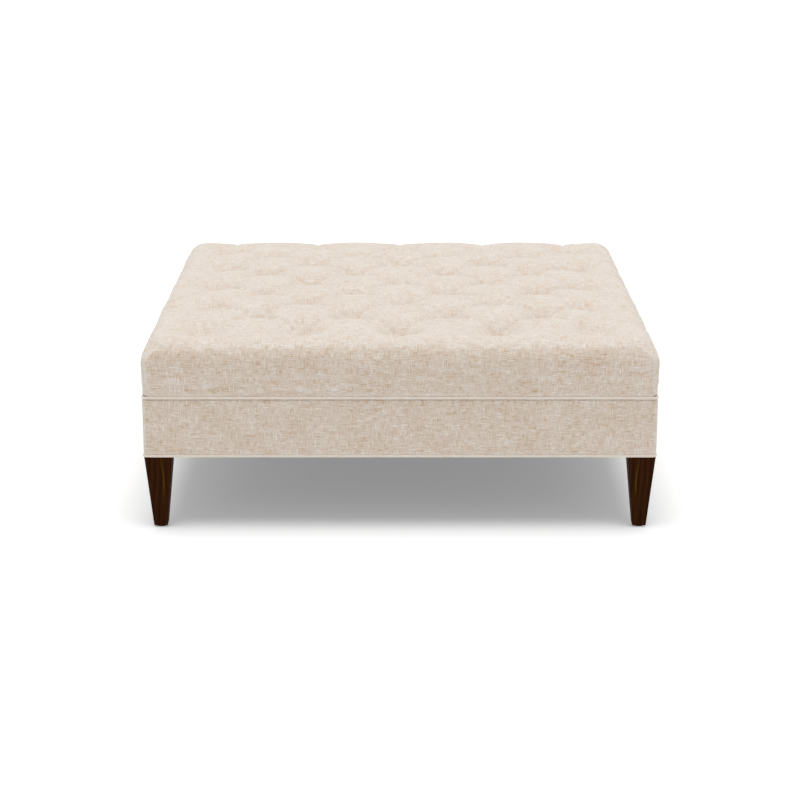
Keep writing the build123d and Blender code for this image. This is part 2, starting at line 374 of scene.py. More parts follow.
def thicken(piece: bpy.types.Object, thickness: float, offset: float = -1.0) -> None:
    """Give a one-layer piece its thickness, inwards unless the offset says otherwise.

    Args:
        piece: Piece to thicken.
        thickness: Thickness in metres.
        offset: Side that the thickness grows to, from -1 inwards to 1 outwards.
    """
    layer = piece.modifiers.new("thickness", "SOLIDIFY")
    layer.thickness = thickness
    layer.offset = offset


def cover(piece: bpy.types.Object, finish: "Finish") -> None:
    """Give a piece its only material.

    Args:
        piece: Piece or CAD node.
        finish: Finish that it wears.
    """
    if not piece.material_slots:
        piece.data.materials.append(None)
    for place in piece.material_slots:
        place.material = finish.material()


def settle_piece(piece: bpy.types.Object, finish: "Finish", *nodes: str) -> bpy.types.Object:
    """Dress a new piece, let it ride on the body and let it stand for CAD nodes.

    Args:
        piece: Finished piece in its place.
        finish: Finish that it wears.
        *nodes: CAD nodes that it replaces.

    Returns:
        The same piece.
    """
    cover(piece, finish)
    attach(piece, ROOT)
    if nodes:
        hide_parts(*nodes)
    held = ", ".join(nodes) or "nothing"
    LOG.info("%s: %d faces, stands for %s", piece.name, len(piece.data.polygons), held)
    return piece


class Graph:
    """Adds and links shader nodes in one tree."""

    def __init__(self, tree: bpy.types.NodeTree) -> None:
        """Start work on a tree."""
        self.tree = tree

    def add(self, kind: str, inputs: dict | None = None, **settings: object) -> bpy.types.Node:
        """Add a node.

        Args:
            kind: Node type without its ShaderNode prefix, or a full name.
            inputs: Values or sockets for the node's inputs, by name or number.
            **settings: Attributes of the node.

        Returns:
            The new node.
        """
        node = self.tree.nodes.new(kind if kind.startswith("Node") else f"ShaderNode{kind}")
        for name, value in settings.items():
            setattr(node, name, value)
        for name, value in (inputs or {}).items():
            self.feed(node.inputs[name], value)
        return node

    def feed(self, target: Socket, value: object) -> None:
        """Link a socket to an input, or set the input to a value.

        Args:
            target: Input of a node.
            value: Socket, number, colour or vector.
        """
        if isinstance(value, Socket):
            self.tree.links.new(value, target)
        elif isinstance(value, tuple) and target.type == "RGBA":
            target.default_value = (*value, 1.0)
        else:
            target.default_value = value

    def sum_up(self, operation: str, *values: object) -> Socket:
        """Result of a Math node."""
        return self.add("Math", dict(enumerate(values)), operation=operation).outputs[0]

    def times(self, first: object, second: object) -> Socket:
        """Product of two numbers."""
        return self.sum_up("MULTIPLY", first, second)

    def fit(self, value: object, scale: object, offset: object) -> Socket:
        """Number scaled and then shifted."""
        return self.sum_up("MULTIPLY_ADD", value, scale, offset)

    def scaled(self, vector: Socket, scale: Sequence[float]) -> Socket:
        """Vector multiplied part by part."""
        return self.add("VectorMath", {0: vector, 1: tuple(scale)}, operation="MULTIPLY").outputs[0]

    def sized(self, vector: Socket, size: Socket, repeats: float = 1.0) -> Socket:
        """Vector counted in steps of a size, with this many repeats to a step."""
        inputs = {0: vector, 3: self.sum_up("DIVIDE", repeats, size)}
        return self.add("VectorMath", inputs, operation="SCALE").outputs[0]

    def noise(self, vector: Socket, scale: float, detail: float = 2.0, rough: float = 0.5) -> Socket:
        """Value of a noise texture."""
        inputs = {"Vector": vector, "Scale": scale, "Detail": detail, "Roughness": rough}
        return self.add("TexNoise", inputs).outputs[0]

    def eased(self, value: Socket, low: object, high: object) -> Socket:
        """Value eased from 0 at low to 1 at high."""
        inputs = {"Value": value, "From Min": low, "From Max": high}
        return self.add("MapRange", inputs, interpolation_type="SMOOTHSTEP").outputs[0]

    def blend(self, share: object, first: object, second: object) -> Socket:
        """Colour between two others."""
        return self.add("Mix", {0: share, 6: first, 7: second}, data_type="RGBA").outputs[2]

    def between(self, share: object, first: object, second: object) -> Socket:
        """Number between two others."""
        return self.add("Mix", {0: share, 2: first, 3: second}, data_type="FLOAT").outputs[0]


class Pattern:
    """Shader node group for an effect that several finishes share, built once."""

    title = ""
    inputs: tuple[tuple[str, float], ...] = ()
    outputs: tuple[str, ...] = ()

    def tree(self) -> bpy.types.NodeTree:
        """Fetch the group, and build it the first time."""
        found = bpy.data.node_groups.get(self.title)
        if found:
            return found
        tree = bpy.data.node_groups.new(self.title, "ShaderNodeTree")
        tree.interface.new_socket(name="Vector", in_out="INPUT", socket_type="NodeSocketVector")
        for name, value in self.inputs:
            socket = tree.interface.new_socket(name=name, in_out="INPUT", socket_type="NodeSocketFloat")
            socket.default_value = value
        for name in self.outputs:
            tree.interface.new_socket(name=name, in_out="OUTPUT", socket_type="NodeSocketFloat")
        graph = Graph(tree)
        source = graph.add("NodeGroupInput").outputs
        sink = graph.add("NodeGroupOutput").inputs
        for name, socket in self.wire(graph, source).items():
            graph.feed(sink[name], socket)
        return tree

    def wire(self, graph: Graph, source: bpy.types.bpy_prop_collection) -> dict[str, Socket]:
        """Build the effect inside the group.

        Args:
            graph: Graph of the group's tree.
            source: Sockets of the group's inputs.

        Returns:
            The socket for each output.
        """
        raise NotImplementedError

    def place(self, graph: Graph, vector: Socket, **values: float) -> bpy.types.bpy_prop_collection:
        """Put the group into a material.

        Args:
            graph: Graph of the material.
            vector: Coordinates that the effect follows.
            **values: Inputs by name, with spaces as underscores.

        Returns:
            The outputs of the group node.
        """
        inputs = {"Vector": vector}
        inputs.update({name.replace("_", " "): value for name, value in values.items()})
        return graph.add("Group", inputs, node_tree=self.tree()).outputs


class WeavePattern(Pattern):
    """Plain weave of uneven slub yarns, with the mottled patches where darker yarn comes to the front."""

    title = "slub weave"
    inputs = (("Thread Pitch", 0.0012), ("Slub Length", 0.017), ("Slub Width", 0.00145), ("Patch Size", 0.05))
    outputs = ("Tan", "Pale", "Patch", "Height")

    def wire(self, graph: Graph, source: bpy.types.bpy_prop_collection) -> dict[str, Socket]:
        """Build the weave; see Pattern.wire.

        Args:
            graph: Graph of the group's tree.
            source: Sockets of the group's inputs.

        Returns:
            The socket for each output.
        """
        parts = graph.add("SeparateXYZ", {0: source["Vector"]}).outputs
        across, along = parts[0], parts[1]
        slubs = []
        yarns = ((across, along, 0.0), (along, across, 7.3), (across, along, 13.1), (along, across, 21.7))
        for first, second, shift in yarns:
            thin = graph.sum_up("DIVIDE", first, source["Slub Width"])
            long = graph.sum_up("DIVIDE", second, source["Slub Length"])
            place = graph.add("CombineXYZ", {0: thin, 1: long, 2: shift}).outputs[0]
            slubs.append(graph.noise(place, 1.0, 2.0, 0.6))
        wide = graph.scaled(source["Vector"], (1.0, 0.72, 1.0))
        patch = graph.noise(graph.sized(wide, source["Patch Size"]), 1.0, 3.0, 0.62)
        patch_mask = graph.eased(patch, 0.34, 0.68)
        clumps = graph.noise(graph.sized(wide, source["Patch Size"], 5.0), 1.0, 1.0)
        threads = graph.fit(clumps, 0.22, graph.sum_up("MAXIMUM", slubs[0], slubs[1]))
        level = graph.fit(patch_mask, 0.03, graph.sum_up("SUBTRACT", threads, 0.11))
        tan = graph.eased(level, 0.53, 0.74)
        pale_threads = graph.sum_up("MAXIMUM", slubs[2], slubs[3])
        pale = graph.eased(graph.fit(patch_mask, -0.03, pale_threads), 0.52, 0.70)
        turn = graph.sum_up("DIVIDE", 2.0 * math.pi, source["Thread Pitch"])
        warp = graph.sum_up("SINE", graph.times(across, turn))
        weft = graph.sum_up("SINE", graph.times(along, turn))
        crossing = graph.fit(graph.times(warp, weft), 0.5, 0.5)
        yarn = graph.sum_up("ADD", slubs[0], slubs[3])
        height = graph.fit(crossing, 0.45, graph.times(yarn, 0.55))
        return {"Tan": tan, "Pale": pale, "Patch": patch_mask, "Height": height}


class GrainPattern(Pattern):
    """Wood cut along the grain: growth bands, fine fibres, open pores and a few bright streaks."""

    title = "wood grain"
    inputs = (("Band Width", 0.012), ("Fibre Width", 0.0011), ("Wander", 0.35))
    outputs = ("Bands", "Fibres", "Streaks", "Pores")

    def wire(self, graph: Graph, source: bpy.types.bpy_prop_collection) -> dict[str, Socket]:
        """Build the grain; see Pattern.wire.

        Args:
            graph: Graph of the group's tree.
            source: Sockets of the group's inputs.

        Returns:
            The socket for each output.
        """
        vector = source["Vector"]
        wander = graph.noise(graph.scaled(vector, (9.0, 9.0, 4.0)), 1.0, 2.0)
        parts = graph.add("SeparateXYZ", {0: vector}).outputs
        shift = graph.times(graph.times(wander, source["Wander"]), 0.06)
        depth = graph.fit(parts[1], 0.8, graph.sum_up("ADD", parts[0], shift))
        rings = graph.sum_up("DIVIDE", depth, source["Band Width"])
        wave = graph.sum_up("SINE", graph.times(rings, 2.0 * math.pi))
        bands = graph.fit(wave, 0.5, 0.5)
        fine = graph.sized(graph.scaled(vector, (1.0, 1.0, 0.02)), source["Fibre Width"])
        fibres = graph.noise(fine, 1.0, 3.0, 0.6)
        pores = graph.eased(graph.noise(graph.scaled(fine, (1.6, 1.6, 1.2)), 1.0, 1.0), 0.60, 0.72)
        long = {0: depth, 1: graph.times(parts[1], 0.5), 2: graph.times(parts[2], 0.05)}
        drawn = graph.add("CombineXYZ", long).outputs[0]
        streaks = graph.eased(graph.noise(drawn, 75.0, 1.5, 0.5), 0.60, 0.73)
        return {"Bands": bands, "Fibres": fibres, "Streaks": streaks, "Pores": pores}


class FibrePattern(Pattern):
    """Matted fibres or cut foam: cells or hairs of one size over softer clouds."""

    title = "matted fibre"
    inputs = (("Fibre Size", 0.0012), ("Cloud Size", 0.03))
    outputs = ("Fibres", "Clouds", "Height")

    def wire(self, graph: Graph, source: bpy.types.bpy_prop_collection) -> dict[str, Socket]:
        """Build the fibres; see Pattern.wire.

        Args:
            graph: Graph of the group's tree.
            source: Sockets of the group's inputs.

        Returns:
            The socket for each output.
        """
        vector = source["Vector"]
        small = graph.sized(vector, source["Fibre Size"])
        hairs = graph.noise(small, 1.0, 2.0, 0.6)
        cells = graph.add("TexVoronoi", {"Vector": small, "Scale": 0.8}).outputs[0]
        clouds = graph.noise(graph.sized(vector, source["Cloud Size"]), 1.0, 3.0)
        return {"Fibres": hairs, "Clouds": clouds, "Height": graph.sum_up("ADD", hairs, cells)}


class RubPattern(Pattern):
    """Light handling: faint cloudy dulling, and tiny nicks."""

    title = "light rubbing"
    inputs = (("Cloud Size", 0.04), ("Nick Size", 0.003))
    outputs = ("Dulling", "Nicks")

    def wire(self, graph: Graph, source: bpy.types.bpy_prop_collection) -> dict[str, Socket]:
        """Build the rubbing; see Pattern.wire.

        Args:
            graph: Graph of the group's tree.
            source: Sockets of the group's inputs.

        Returns:
            The socket for each output.
        """
        vector = source["Vector"]
        dulling = graph.eased(graph.noise(graph.sized(vector, source["Cloud Size"]), 1.0, 3.0), 0.35, 0.75)
        nicks = graph.eased(graph.noise(graph.sized(vector, source["Nick Size"]), 1.0, 1.0), 0.70, 0.80)
        return {"Dulling": dulling, "Nicks": nicks}


@dataclass(frozen=True)
class Finish:
    """Material of one kind of surface, made the first time that it is used."""

    name: str
    slot: str

    def material(self) -> bpy.types.Material:
        """Fetch the material, and build it the first time."""
        found = bpy.data.materials.get(self.name)
        if found:
            return found
        made = bpy.data.materials.new(self.name)
        made.use_nodes = True
        graph = Graph(made.node_tree)
        shader = made.node_tree.nodes["Principled BSDF"]
        for name, value in self.paint(graph).items():
            graph.feed(shader.inputs[name], value)
        return made

    def paint(self, graph: Graph) -> dict[str, object]:
        """Build the nodes.

        Args:
            graph: Graph of the material.

        Returns:
            The value or socket for each input of the shader.
        """
        raise NotImplementedError

    @staticmethod
    def own_place(graph: Graph) -> Socket:
        """Coordinates in the piece's own frame."""
        return graph.add("TexCoord").outputs["Object"]

    @staticmethod
    def bump(graph: Graph, height: Socket, distance: float, strength: float = 1.0) -> Socket:
        """Normal roughened by a height between 0 and 1 that stands for this distance."""
        inputs = {"Height": height, "Distance": distance, "Strength": strength}
        return graph.add("Bump", inputs).outputs[0]


@dataclass(frozen=True)
class LinenFinish(Finish):
    """Cream linen with tan slubs, seen on everything upholstered, paled by a painted sheen where it is seen
    at a grazing angle.
    """

    cream: Colour
    tan: Colour
    ivory: Colour
    # Pale colour of the painted sheen, blended in where the cloth is seen at a grazing angle.
    painted_sheen: Colour = (0.86, 0.84, 0.81)
    cut: Cut = Cut.STRAIGHT
    patch_size: float = 0.05
    relief: float = 0.35 * MM

    def paint(self, graph: Graph) -> dict[str, object]:
        """Build the cloth; see Finish.paint.

        Args:
            graph: Graph of the material.

        Returns:
            The value or socket for each input of the shader.
        """
        place = graph.add("UVMap", uv_map=CLOTH_MAP).outputs[0]
        turn = (0.0, 0.0, math.radians(self.cut.value))
        place = graph.add("Mapping", {"Vector": place, "Rotation": turn}).outputs[0]
        weave = WeavePattern().place(graph, place, Patch_Size=self.patch_size)
        ground = graph.blend(graph.times(weave["Patch"], 0.04), self.cream, self.tan)
        darker = graph.blend(graph.times(weave["Tan"], 0.8), ground, self.tan)
        colour = graph.blend(graph.times(weave["Pale"], 0.8), darker, self.ivory)
        # Painted sheen: the colour is blended towards the pale sheen colour where the cloth is seen at a
        # grazing angle, so flat tops and crests read lighter and walls turned to the camera keep the plain
        # colour.
        facing = graph.add("LayerWeight", {"Blend": 0.5}).outputs["Facing"]
        rim = graph.times(graph.sum_up("POWER", facing, 4.0), 0.16)
        painted_sheen_share = graph.fit(graph.eased(facing, 0.0, 0.16), 0.27, rim)
        return {
            "Base Color": graph.blend(painted_sheen_share, colour, self.painted_sheen),
            "Roughness": graph.between(weave["Height"], 0.95, 0.85),
            "Normal": self.bump(graph, weave["Height"], self.relief, 0.8),
            "Sheen Weight": 0.05,
            "Sheen Roughness": 0.5,
            "Specular IOR Level": 0.2,
        }


@dataclass(frozen=True)
class WoodFinish(Finish):
    """Wood with its grain along one direction, oiled, lacquered or bare."""

    dark: Colour
    light: Colour
    streak: Colour
    grain: Grain
    roughness: float
    coat: float = 0.0
    shine: float = 0.4
    band_width: float = 0.012
    streak_share: float = 0.6
    relief: float = 0.12 * MM

    def paint(self, graph: Graph) -> dict[str, object]:
        """Build the wood; see Finish.paint.

        Args:
            graph: Graph of the material.

        Returns:
            The value or socket for each input of the shader.
        """
        turn = tuple(math.radians(angle) for angle in self.grain.value)
        place = graph.add("Mapping", {"Vector": self.own_place(graph), "Rotation": turn}).outputs[0]
        wood = GrainPattern().place(graph, place, Band_Width=self.band_width)
        rub = RubPattern().place(graph, self.own_place(graph))
        figure = graph.fit(wood["Bands"], 0.5, graph.times(wood["Fibres"], 0.5))
        body = graph.blend(graph.eased(figure, 0.25, 0.80), self.dark, self.light)
        body = graph.blend(graph.times(wood["Streaks"], self.streak_share), body, self.streak)
        pore_colour = tuple(0.4 * part for part in self.dark)
        body = graph.blend(graph.times(wood["Pores"], 0.45), body, pore_colour)
        body = self.figured(graph, body)
        wear = graph.add("Attribute", attribute_name=WEAR_LAYER).outputs["Fac"]
        worn = graph.times(wear, graph.times(wood["Fibres"], 0.35))
        colour = graph.blend(worn, body, self.streak)
        relief = graph.sum_up("SUBTRACT", wood["Fibres"], wood["Pores"])
        return {
            "Base Color": colour,
            "Roughness": graph.fit(rub["Dulling"], 0.10, self.roughness),
            "Normal": self.bump(graph, relief, self.relief, 0.5),
            "Specular IOR Level": self.shine,
            "Coat Weight": self.coat,
            "Coat Roughness": 0.22,
        }

    def figured(self, graph: Graph, body: Socket) -> Socket:
        """Lay a special figure over the wood's colour.

        Args:
            graph: Graph of the material.
            body: Colour so far.

        Returns:
            Colour with the figure, here unchanged.
        """
        return body


@dataclass(frozen=True)
class VeinedFinish(WoodFinish):
    """Dark stained wood with one golden vein down the inner half of each leg."""

    leg_middle: float = 478.6 * MM
    vein_top: float = 150.0 * MM
    vein_reach: float = 78.0 * MM
    vein_width: float = 1.5 * MM
    gold: Colour = (0.100, 0.048, 0.0012)

    def figured(self, graph: Graph, body: Socket) -> Socket:
        """Lay the vein over the wood; see WoodFinish.figured.

        Args:
            graph: Graph of the material.
            body: Colour so far.

        Returns:
            Colour with the vein.
        """
        parts = graph.add("SeparateXYZ", {0: self.own_place(graph)}).outputs
        below = graph.sum_up("SUBTRACT", self.vein_top, parts[2])
        bend = graph.eased(below, 0.0, 0.6 * self.vein_reach)
        wobble = graph.noise(graph.scaled(self.own_place(graph), (30.0, 30.0, 38.0)), 1.0, 1.0)
        line = graph.fit(bend, -4.0 * MM, self.leg_middle - 5.4 * MM)
        line = graph.fit(wobble, 2.0 * MM, graph.sum_up("SUBTRACT", line, 1.0 * MM))
        gap = graph.sum_up("ABSOLUTE", graph.sum_up("SUBTRACT", graph.sum_up("ABSOLUTE", parts[0]), line))
        width = graph.fit(bend, 0.8 * self.vein_width, 0.9 * self.vein_width)
        near = graph.sum_up("SUBTRACT", 1.0, graph.eased(gap, 0.0, width))
        end = graph.sum_up("SUBTRACT", 1.0, graph.eased(below, 0.8 * self.vein_reach, 1.15 * self.vein_reach))
        strength = graph.fit(end, 0.62, graph.fit(bend, 0.14, 0.06))
        return graph.blend(graph.times(near, strength), body, self.gold)


@dataclass(frozen=True)
class MetalFinish(Finish):
    """Plated steel with faint spangle and rubbing."""

    colour: Colour
    roughness: float = 0.34

    def paint(self, graph: Graph) -> dict[str, object]:
        """Build the metal; see Finish.paint.

        Args:
            graph: Graph of the material.

        Returns:
            The value or socket for each input of the shader.
        """
        place = self.own_place(graph)
        rub = RubPattern().place(graph, place, Cloud_Size=0.006, Nick_Size=0.0012)
        duller = tuple(0.72 * part for part in self.colour)
        return {
            "Base Color": graph.blend(rub["Dulling"], self.colour, duller),
            "Metallic": 1.0,
            "Roughness": graph.fit(rub["Dulling"], 0.16, self.roughness),
            "Normal": self.bump(graph, rub["Nicks"], 0.05 * MM, 0.4),
        }


@dataclass(frozen=True)
class MouldedFinish(Finish):
    """Moulded nylon, lightly scuffed."""

    colour: Colour

    def paint(self, graph: Graph) -> dict[str, object]:
        """Build the plastic; see Finish.paint.

        Args:
            graph: Graph of the material.

        Returns:
            The value or socket for each input of the shader.
        """
        place = self.own_place(graph)
        rub = RubPattern().place(graph, place, Cloud_Size=0.008, Nick_Size=0.0015)
        scuffed = tuple(min(1.0, 2.2 * part + 0.02) for part in self.colour)
        return {
            "Base Color": graph.blend(graph.times(rub["Nicks"], 0.5), self.colour, scuffed),
            "Roughness": graph.fit(rub["Dulling"], 0.2, 0.45),
            "Normal": self.bump(graph, rub["Nicks"], 0.04 * MM, 0.5),
        }


@dataclass(frozen=True)
class FibreFinish(Finish):
    """Matted or cellular stuff: foam, wadding, card and spunbonded cloth."""

    light: Colour
    dark: Colour
    fibre_size: float
    relief: float
    roughness: float = 0.92

    def paint(self, graph: Graph) -> dict[str, object]:
        """Build the fibres; see Finish.paint.

        Args:
            graph: Graph of the material.

        Returns:
            The value or socket for each input of the shader.
        """
        mat = FibrePattern().place(graph, self.own_place(graph), Fibre_Size=self.fibre_size)
        mixed = graph.fit(mat["Clouds"], 0.6, graph.times(mat["Fibres"], 0.5))
        return {
            "Base Color": graph.blend(graph.eased(mixed, 0.35, 0.75), self.dark, self.light),
            "Roughness": graph.between(mat["Fibres"], self.roughness, self.roughness - 0.12),
            "Normal": self.bump(graph, mat["Height"], self.relief, 0.7),
            "Specular IOR Level": 0.3,
        }


LINEN = LinenFinish(
    "cream_linen",
    "cream_weave",
    (0.650, 0.557, 0.469),
    (0.475, 0.285, 0.13),
    (0.83, 0.78, 0.735),
)
# Painted highlight: the same linen as the band, with colours made lighter so that the round cord reads
# brighter, as if it caught light from above.
PIPING_PAINTED_HIGHLIGHT = LinenFinish(
    "bias_linen_painted_highlight",
    "cream_weave",
    (0.74, 0.64, 0.545),
    (0.66, 0.53, 0.41),
    (0.80, 0.73, 0.665),
    cut=Cut.BIAS,
)
WALNUT = VeinedFinish(
    "dark_walnut",
    "walnut_stain",
    (0.0135, 0.0024, 0.0003),
    (0.034, 0.0078, 0.0009),
    (0.058, 0.021, 0.0016),
    Grain.UP,
    roughness=0.42,
    shine=0.03,
    streak_share=0.35,
)
PINE = {
    grain: WoodFinish(
        f"bare_pine_{grain.name.lower()}",
        "frame_wood",
        (0.50, 0.33, 0.18),
        (0.70, 0.52, 0.33),
        (0.80, 0.64, 0.45),
        grain,
        roughness=0.62,
    )
    for grain in Grain
}
ZINC = MetalFinish("zinc_plate", "zinc_steel", (0.62, 0.62, 0.60))
STAPLE_WIRE = MetalFinish("galvanised_wire", "staple_wire", (0.66, 0.66, 0.64), 0.28)
NYLON = MouldedFinish("dark_nylon", "glide_nylon", (0.02, 0.018, 0.016))
CARD = FibreFinish("raw_card", "tack_card", (0.50, 0.40, 0.28), (0.38, 0.30, 0.20), 0.9 * MM, 0.06 * MM)
TWINE = FibreFinish(
    "waxed_twine",
    "waxed_twine",
    (0.74, 0.70, 0.58),
    (0.60, 0.55, 0.42),
    0.5 * MM,
    0.1 * MM,
    roughness=0.6,
)
FOAM = FibreFinish("cut_foam", "foam", (0.84, 0.78, 0.58), (0.74, 0.66, 0.44), 1.4 * MM, 0.3 * MM)
WADDING = FibreFinish("bonded_wadding", "wadding", (0.88, 0.88, 0.86), (0.78, 0.78, 0.75), 2.2 * MM, 0.5 * MM)
DUST_CLOTH = FibreFinish(
    "black_spunbond",
    "dust_cloth",
    (0.030, 0.030, 0.031),
    (0.014, 0.014, 0.015),
    1.1 * MM,
    0.12 * MM,
)


@dataclass
class Cushion:
    """Tufted cushion: one cloth over foam and wadding, drawn down at the tufts and rolled over the edges."""

    roll: float = 43.0 * MM
    roll_drop: float = 49.0 * MM
    border_dip: float = 2.0 * MM
    seam_draw: float = 2.1 * MM
    bulge_height: float = 61.0 * MM
    tuck: float = 3.9 * MM
    tuck_height: float = 7.0 * MM
    pitch: float = 98.1 * MM
    last: int = 4
    cells_per_pitch: int = 20
    cells_across: int = 204
    cells_down: int = 23
    corner_top_radius: float = 34.0 * MM
    corner_side_radius: float = 16.0 * MM
    crown: float = 14.5 * MM
    crown_edge: float = 430.0 * MM
    crown_margin: float = 150.0 * MM
    valley_depth: float = 2.5 * MM
    crease_depth: float = 4.6 * MM
    crease_fade: float = 0.35
    crease_reach: float = 68.0 * MM
    crease_width: float = 18.0 * MM
    bowl_depth: float = 15.0 * MM
    bowl_reach: float = 80.0 * MM
    bowl_square: float = 8.0
    pit_depth: float = 22.0 * MM
    pit_reach: float = 54.0 * MM
    free_depth: float = 21.0 * MM
    deepest: float = 29.5 * MM
    pleat_depth: float = 6.5 * MM
    pleat_reach: float = 90.0 * MM
    gather_height: float = 0.8 * MM
    gather_reach: float = 10.0 * MM
    settling_frames: int = 20
    settling_cap: float = 2.2 * MM
    foam_side_cover: float = 14.1 * MM
    foam_fit: float = 0.3 * MM
    foam_radius: float = 14.3 * MM

    def __post_init__(self) -> None:
        """Take the cushion's place from the frame."""
        low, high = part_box("top_cover")
        self.reach = high.x
        self.seam_z = low.z
        self.crest_z = high.z - self.border_dip
        self.height = self.crest_z - low.z
        self.flat = self.reach - self.roll
        self.half_sheet = self.cells_across / 2 * self.pitch / self.cells_per_pitch
        self.roll_mean = math.sqrt((self.roll**2 + self.roll_drop**2) / 2.0)
        self.roll_run = self.roll_mean * math.pi / 2.0
        self.drop_run = self.flat + self.roll_run + self.height - self.roll_drop - self.half_sheet
        self.foam_top_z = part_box("foam_core")[1].z

    def tufts(self) -> np.ndarray:
        """Places of the tufts on the flat sheet, one row each."""
        steps = range(-self.last, self.last + 1)
        return np.array([(i, j) for j in steps for i in steps if (i + j) % 2 == 0], float) * self.pitch

    def fold(self, run: np.ndarray) -> tuple[np.ndarray, np.ndarray]:
        """Lay a length of sheet over the roll and down the side.

        Args:
            run: Distance from the middle of the cushion along the sheet.

        Returns:
            Distance from the middle in plan, and drop below the crest.
        """
        over = np.maximum(run - self.flat, 0.0)
        turn = np.minimum(over / self.roll_mean, math.pi / 2.0)
        down = np.maximum(over - self.roll_run, 0.0)
        out = np.minimum(run, self.flat) + self.roll * np.sin(turn)
        drop = self.roll_drop * (1.0 - np.cos(turn)) + down
        above_seam = self.height - drop
        low_share = np.clip(1.0 - above_seam / self.bulge_height, 0.0, 1.0)
        out -= self.seam_draw * low_share**2
        out -= self.tuck * (1.0 - smooth_step(above_seam, 0.15 * self.tuck_height, self.tuck_height))
        return out, drop

    def build_sheet(self) -> bmesh.types.BMesh:
        """Make the flat sheet as the top and sides of a cube, with its cloth map."""
        bm = bmesh.new()
        bmesh.ops.create_cube(bm, size=2.0)
        for axis, cuts in ((0, self.cells_across - 1), (1, self.cells_across - 1), (2, self.cells_down - 1)):
            if axis == 2:
                lids = [face for face in bm.faces if face.calc_center_median().z < -0.99]
                bmesh.ops.delete(bm, geom=lids, context="FACES_ONLY")
            bmesh.ops.subdivide_edges(bm, edges=edges_along(bm, axis), cuts=cuts, use_grid_fill=True)
        bmesh.ops.delete(bm, geom=[vert for vert in bm.verts if not vert.link_faces], context="VERTS")
        bm.normal_update()
        layer = bm.loops.layers.uv.new(CLOTH_MAP)
        for face in bm.faces:
            normal = face.normal
            for loop in face.loops:
                x, y, z = loop.vert.co
                down = (1.0 - z) / 2.0 * self.drop_run
                s, t = x * self.half_sheet, y * self.half_sheet
                if abs(normal.x) > 0.5:
                    s += math.copysign(down, normal.x)
                elif abs(normal.y) > 0.5:
                    t += math.copysign(down, normal.y)
                loop[layer].uv = (s, t)
        return bm

    def lay(self, cube: np.ndarray) -> tuple[np.ndarray, np.ndarray]:
        """Lay the sheet over the cushion before tufting.

        Args:
            cube: Places on the cube, one row each.

        Returns:
            Places in the frame, and places on the flat sheet with the sides folded out.
        """
        side = np.sign(cube[:, :2])
        plan = np.abs(cube[:, :2]) * self.half_sheet
        down = (1.0 - cube[:, 2]) / 2.0 * self.drop_run
        major, minor = plan.max(axis=1), plan.min(axis=1)
        x_leads = plan[:, 0] >= plan[:, 1]
        out, drop = self.fold(major + down)
        edge = self.fold(np.array([self.half_sheet]))[0][0]
        beside, minor_drop = self.fold(minor)
        reach_out = smooth_step(minor, 0.8 * self.half_sheet, self.half_sheet)
        beside = beside + (out - edge) * reach_out * (down > 0.0)
        minor_drop = minor_drop * (1.0 - drop / self.height)
        z = self.crest_z - np.hypot(drop, minor_drop)
        radius = self.corner_top_radius + (self.corner_side_radius - self.corner_top_radius) * smooth_step(
            drop, 0.3 * self.roll, self.roll
        )
        ring = np.where(down > 0.0, out, edge)
        over_major = out - (ring - radius)
        over_minor = beside - (ring - radius)
        both = (over_major > 0.0) & (over_minor > 0.0)
        size = np.hypot(over_major, over_minor)
        shrink = np.where(both, np.maximum(over_major, over_minor) / np.maximum(size, 1e-9), 1.0)
        out = np.where(both, ring - radius + over_major * shrink, out)
        beside = np.where(both, ring - radius + over_minor * shrink, beside)
        x = np.where(x_leads, out, beside) * side[:, 0]
        y = np.where(x_leads, beside, out) * side[:, 1]
        s = side[:, 0] * (plan[:, 0] + np.where(x_leads, down, 0.0))
        t = side[:, 1] * (plan[:, 1] + np.where(x_leads, 0.0, down))
        return np.stack([x, y, z], axis=1), np.stack([s, t], axis=1)

    def nearest_tuft(self, sheet: np.ndarray) -> tuple[np.ndarray, np.ndarray, np.ndarray]:
        """Find the tuft nearest to each point of the flat sheet.

        Args:
            sheet: Places on the flat sheet.

        Returns:
            Number of the tuft, distance to it, and angle around it.
        """
        tufts = self.tufts()
        gaps = sheet[:, None, :] - tufts[None, :, :]
        distance = np.hypot(gaps[..., 0], gaps[..., 1])
        number = distance.argmin(axis=1)
        rows = np.arange(len(sheet))
        gap = gaps[rows, number]
        return number, distance[rows, number], np.arctan2(gap[:, 1], gap[:, 0])

    def crease_share(self, sheet: np.ndarray) -> np.ndarray:
        """How near each point lies to a diagonal crease: 1 on it, and 0 midway to the next.

        Args:
            sheet: Places on the flat sheet.

        Returns:
            Shares for the two directions of creases, one row each.
        """
        s, t = sheet[:, 0], sheet[:, 1]
        lattice = np.stack([s + t, s - t], axis=1) / (2.0 * self.pitch)
        apart = np.abs(lattice - np.round(lattice))
        edge = self.last * self.pitch
        inside = 1.0 - smooth_step(np.abs(sheet).max(axis=1), edge, (self.last + 0.45) * self.pitch)
        return (1.0 - 2.0 * apart) * inside[:, None]

    def pleat_share(self, sheet: np.ndarray) -> np.ndarray:
        """How near each point outside the tufts lies to a straight pleat that runs out from an edge tuft.

        Args:
            sheet: Places on the flat sheet.

        Returns:
            Shares, 1 on the pleat and 0 at the pleat's reach.
        """
        edge = self.last * self.pitch
        spread = 2.0 * self.pitch
        share = np.zeros(len(sheet))
        for outward, beside in ((0, 1), (1, 0)):
            place = np.clip(np.round(sheet[:, beside] / spread), -self.last / 2, self.last / 2) * spread
            gap = np.abs(sheet[:, beside] - place)
            run = np.abs(sheet[:, outward])
            near = np.clip(1.0 - gap / self.pleat_reach, 0.0, 1.0)
            start = smooth_step(run, edge - 0.1 * self.pitch, edge + 0.15 * self.pitch)
            end = 1.0 - smooth_step(run, self.flat - 0.05 * self.roll, self.flat + 1.2 * self.roll)
            share = np.maximum(share, near * start * end)
        return share

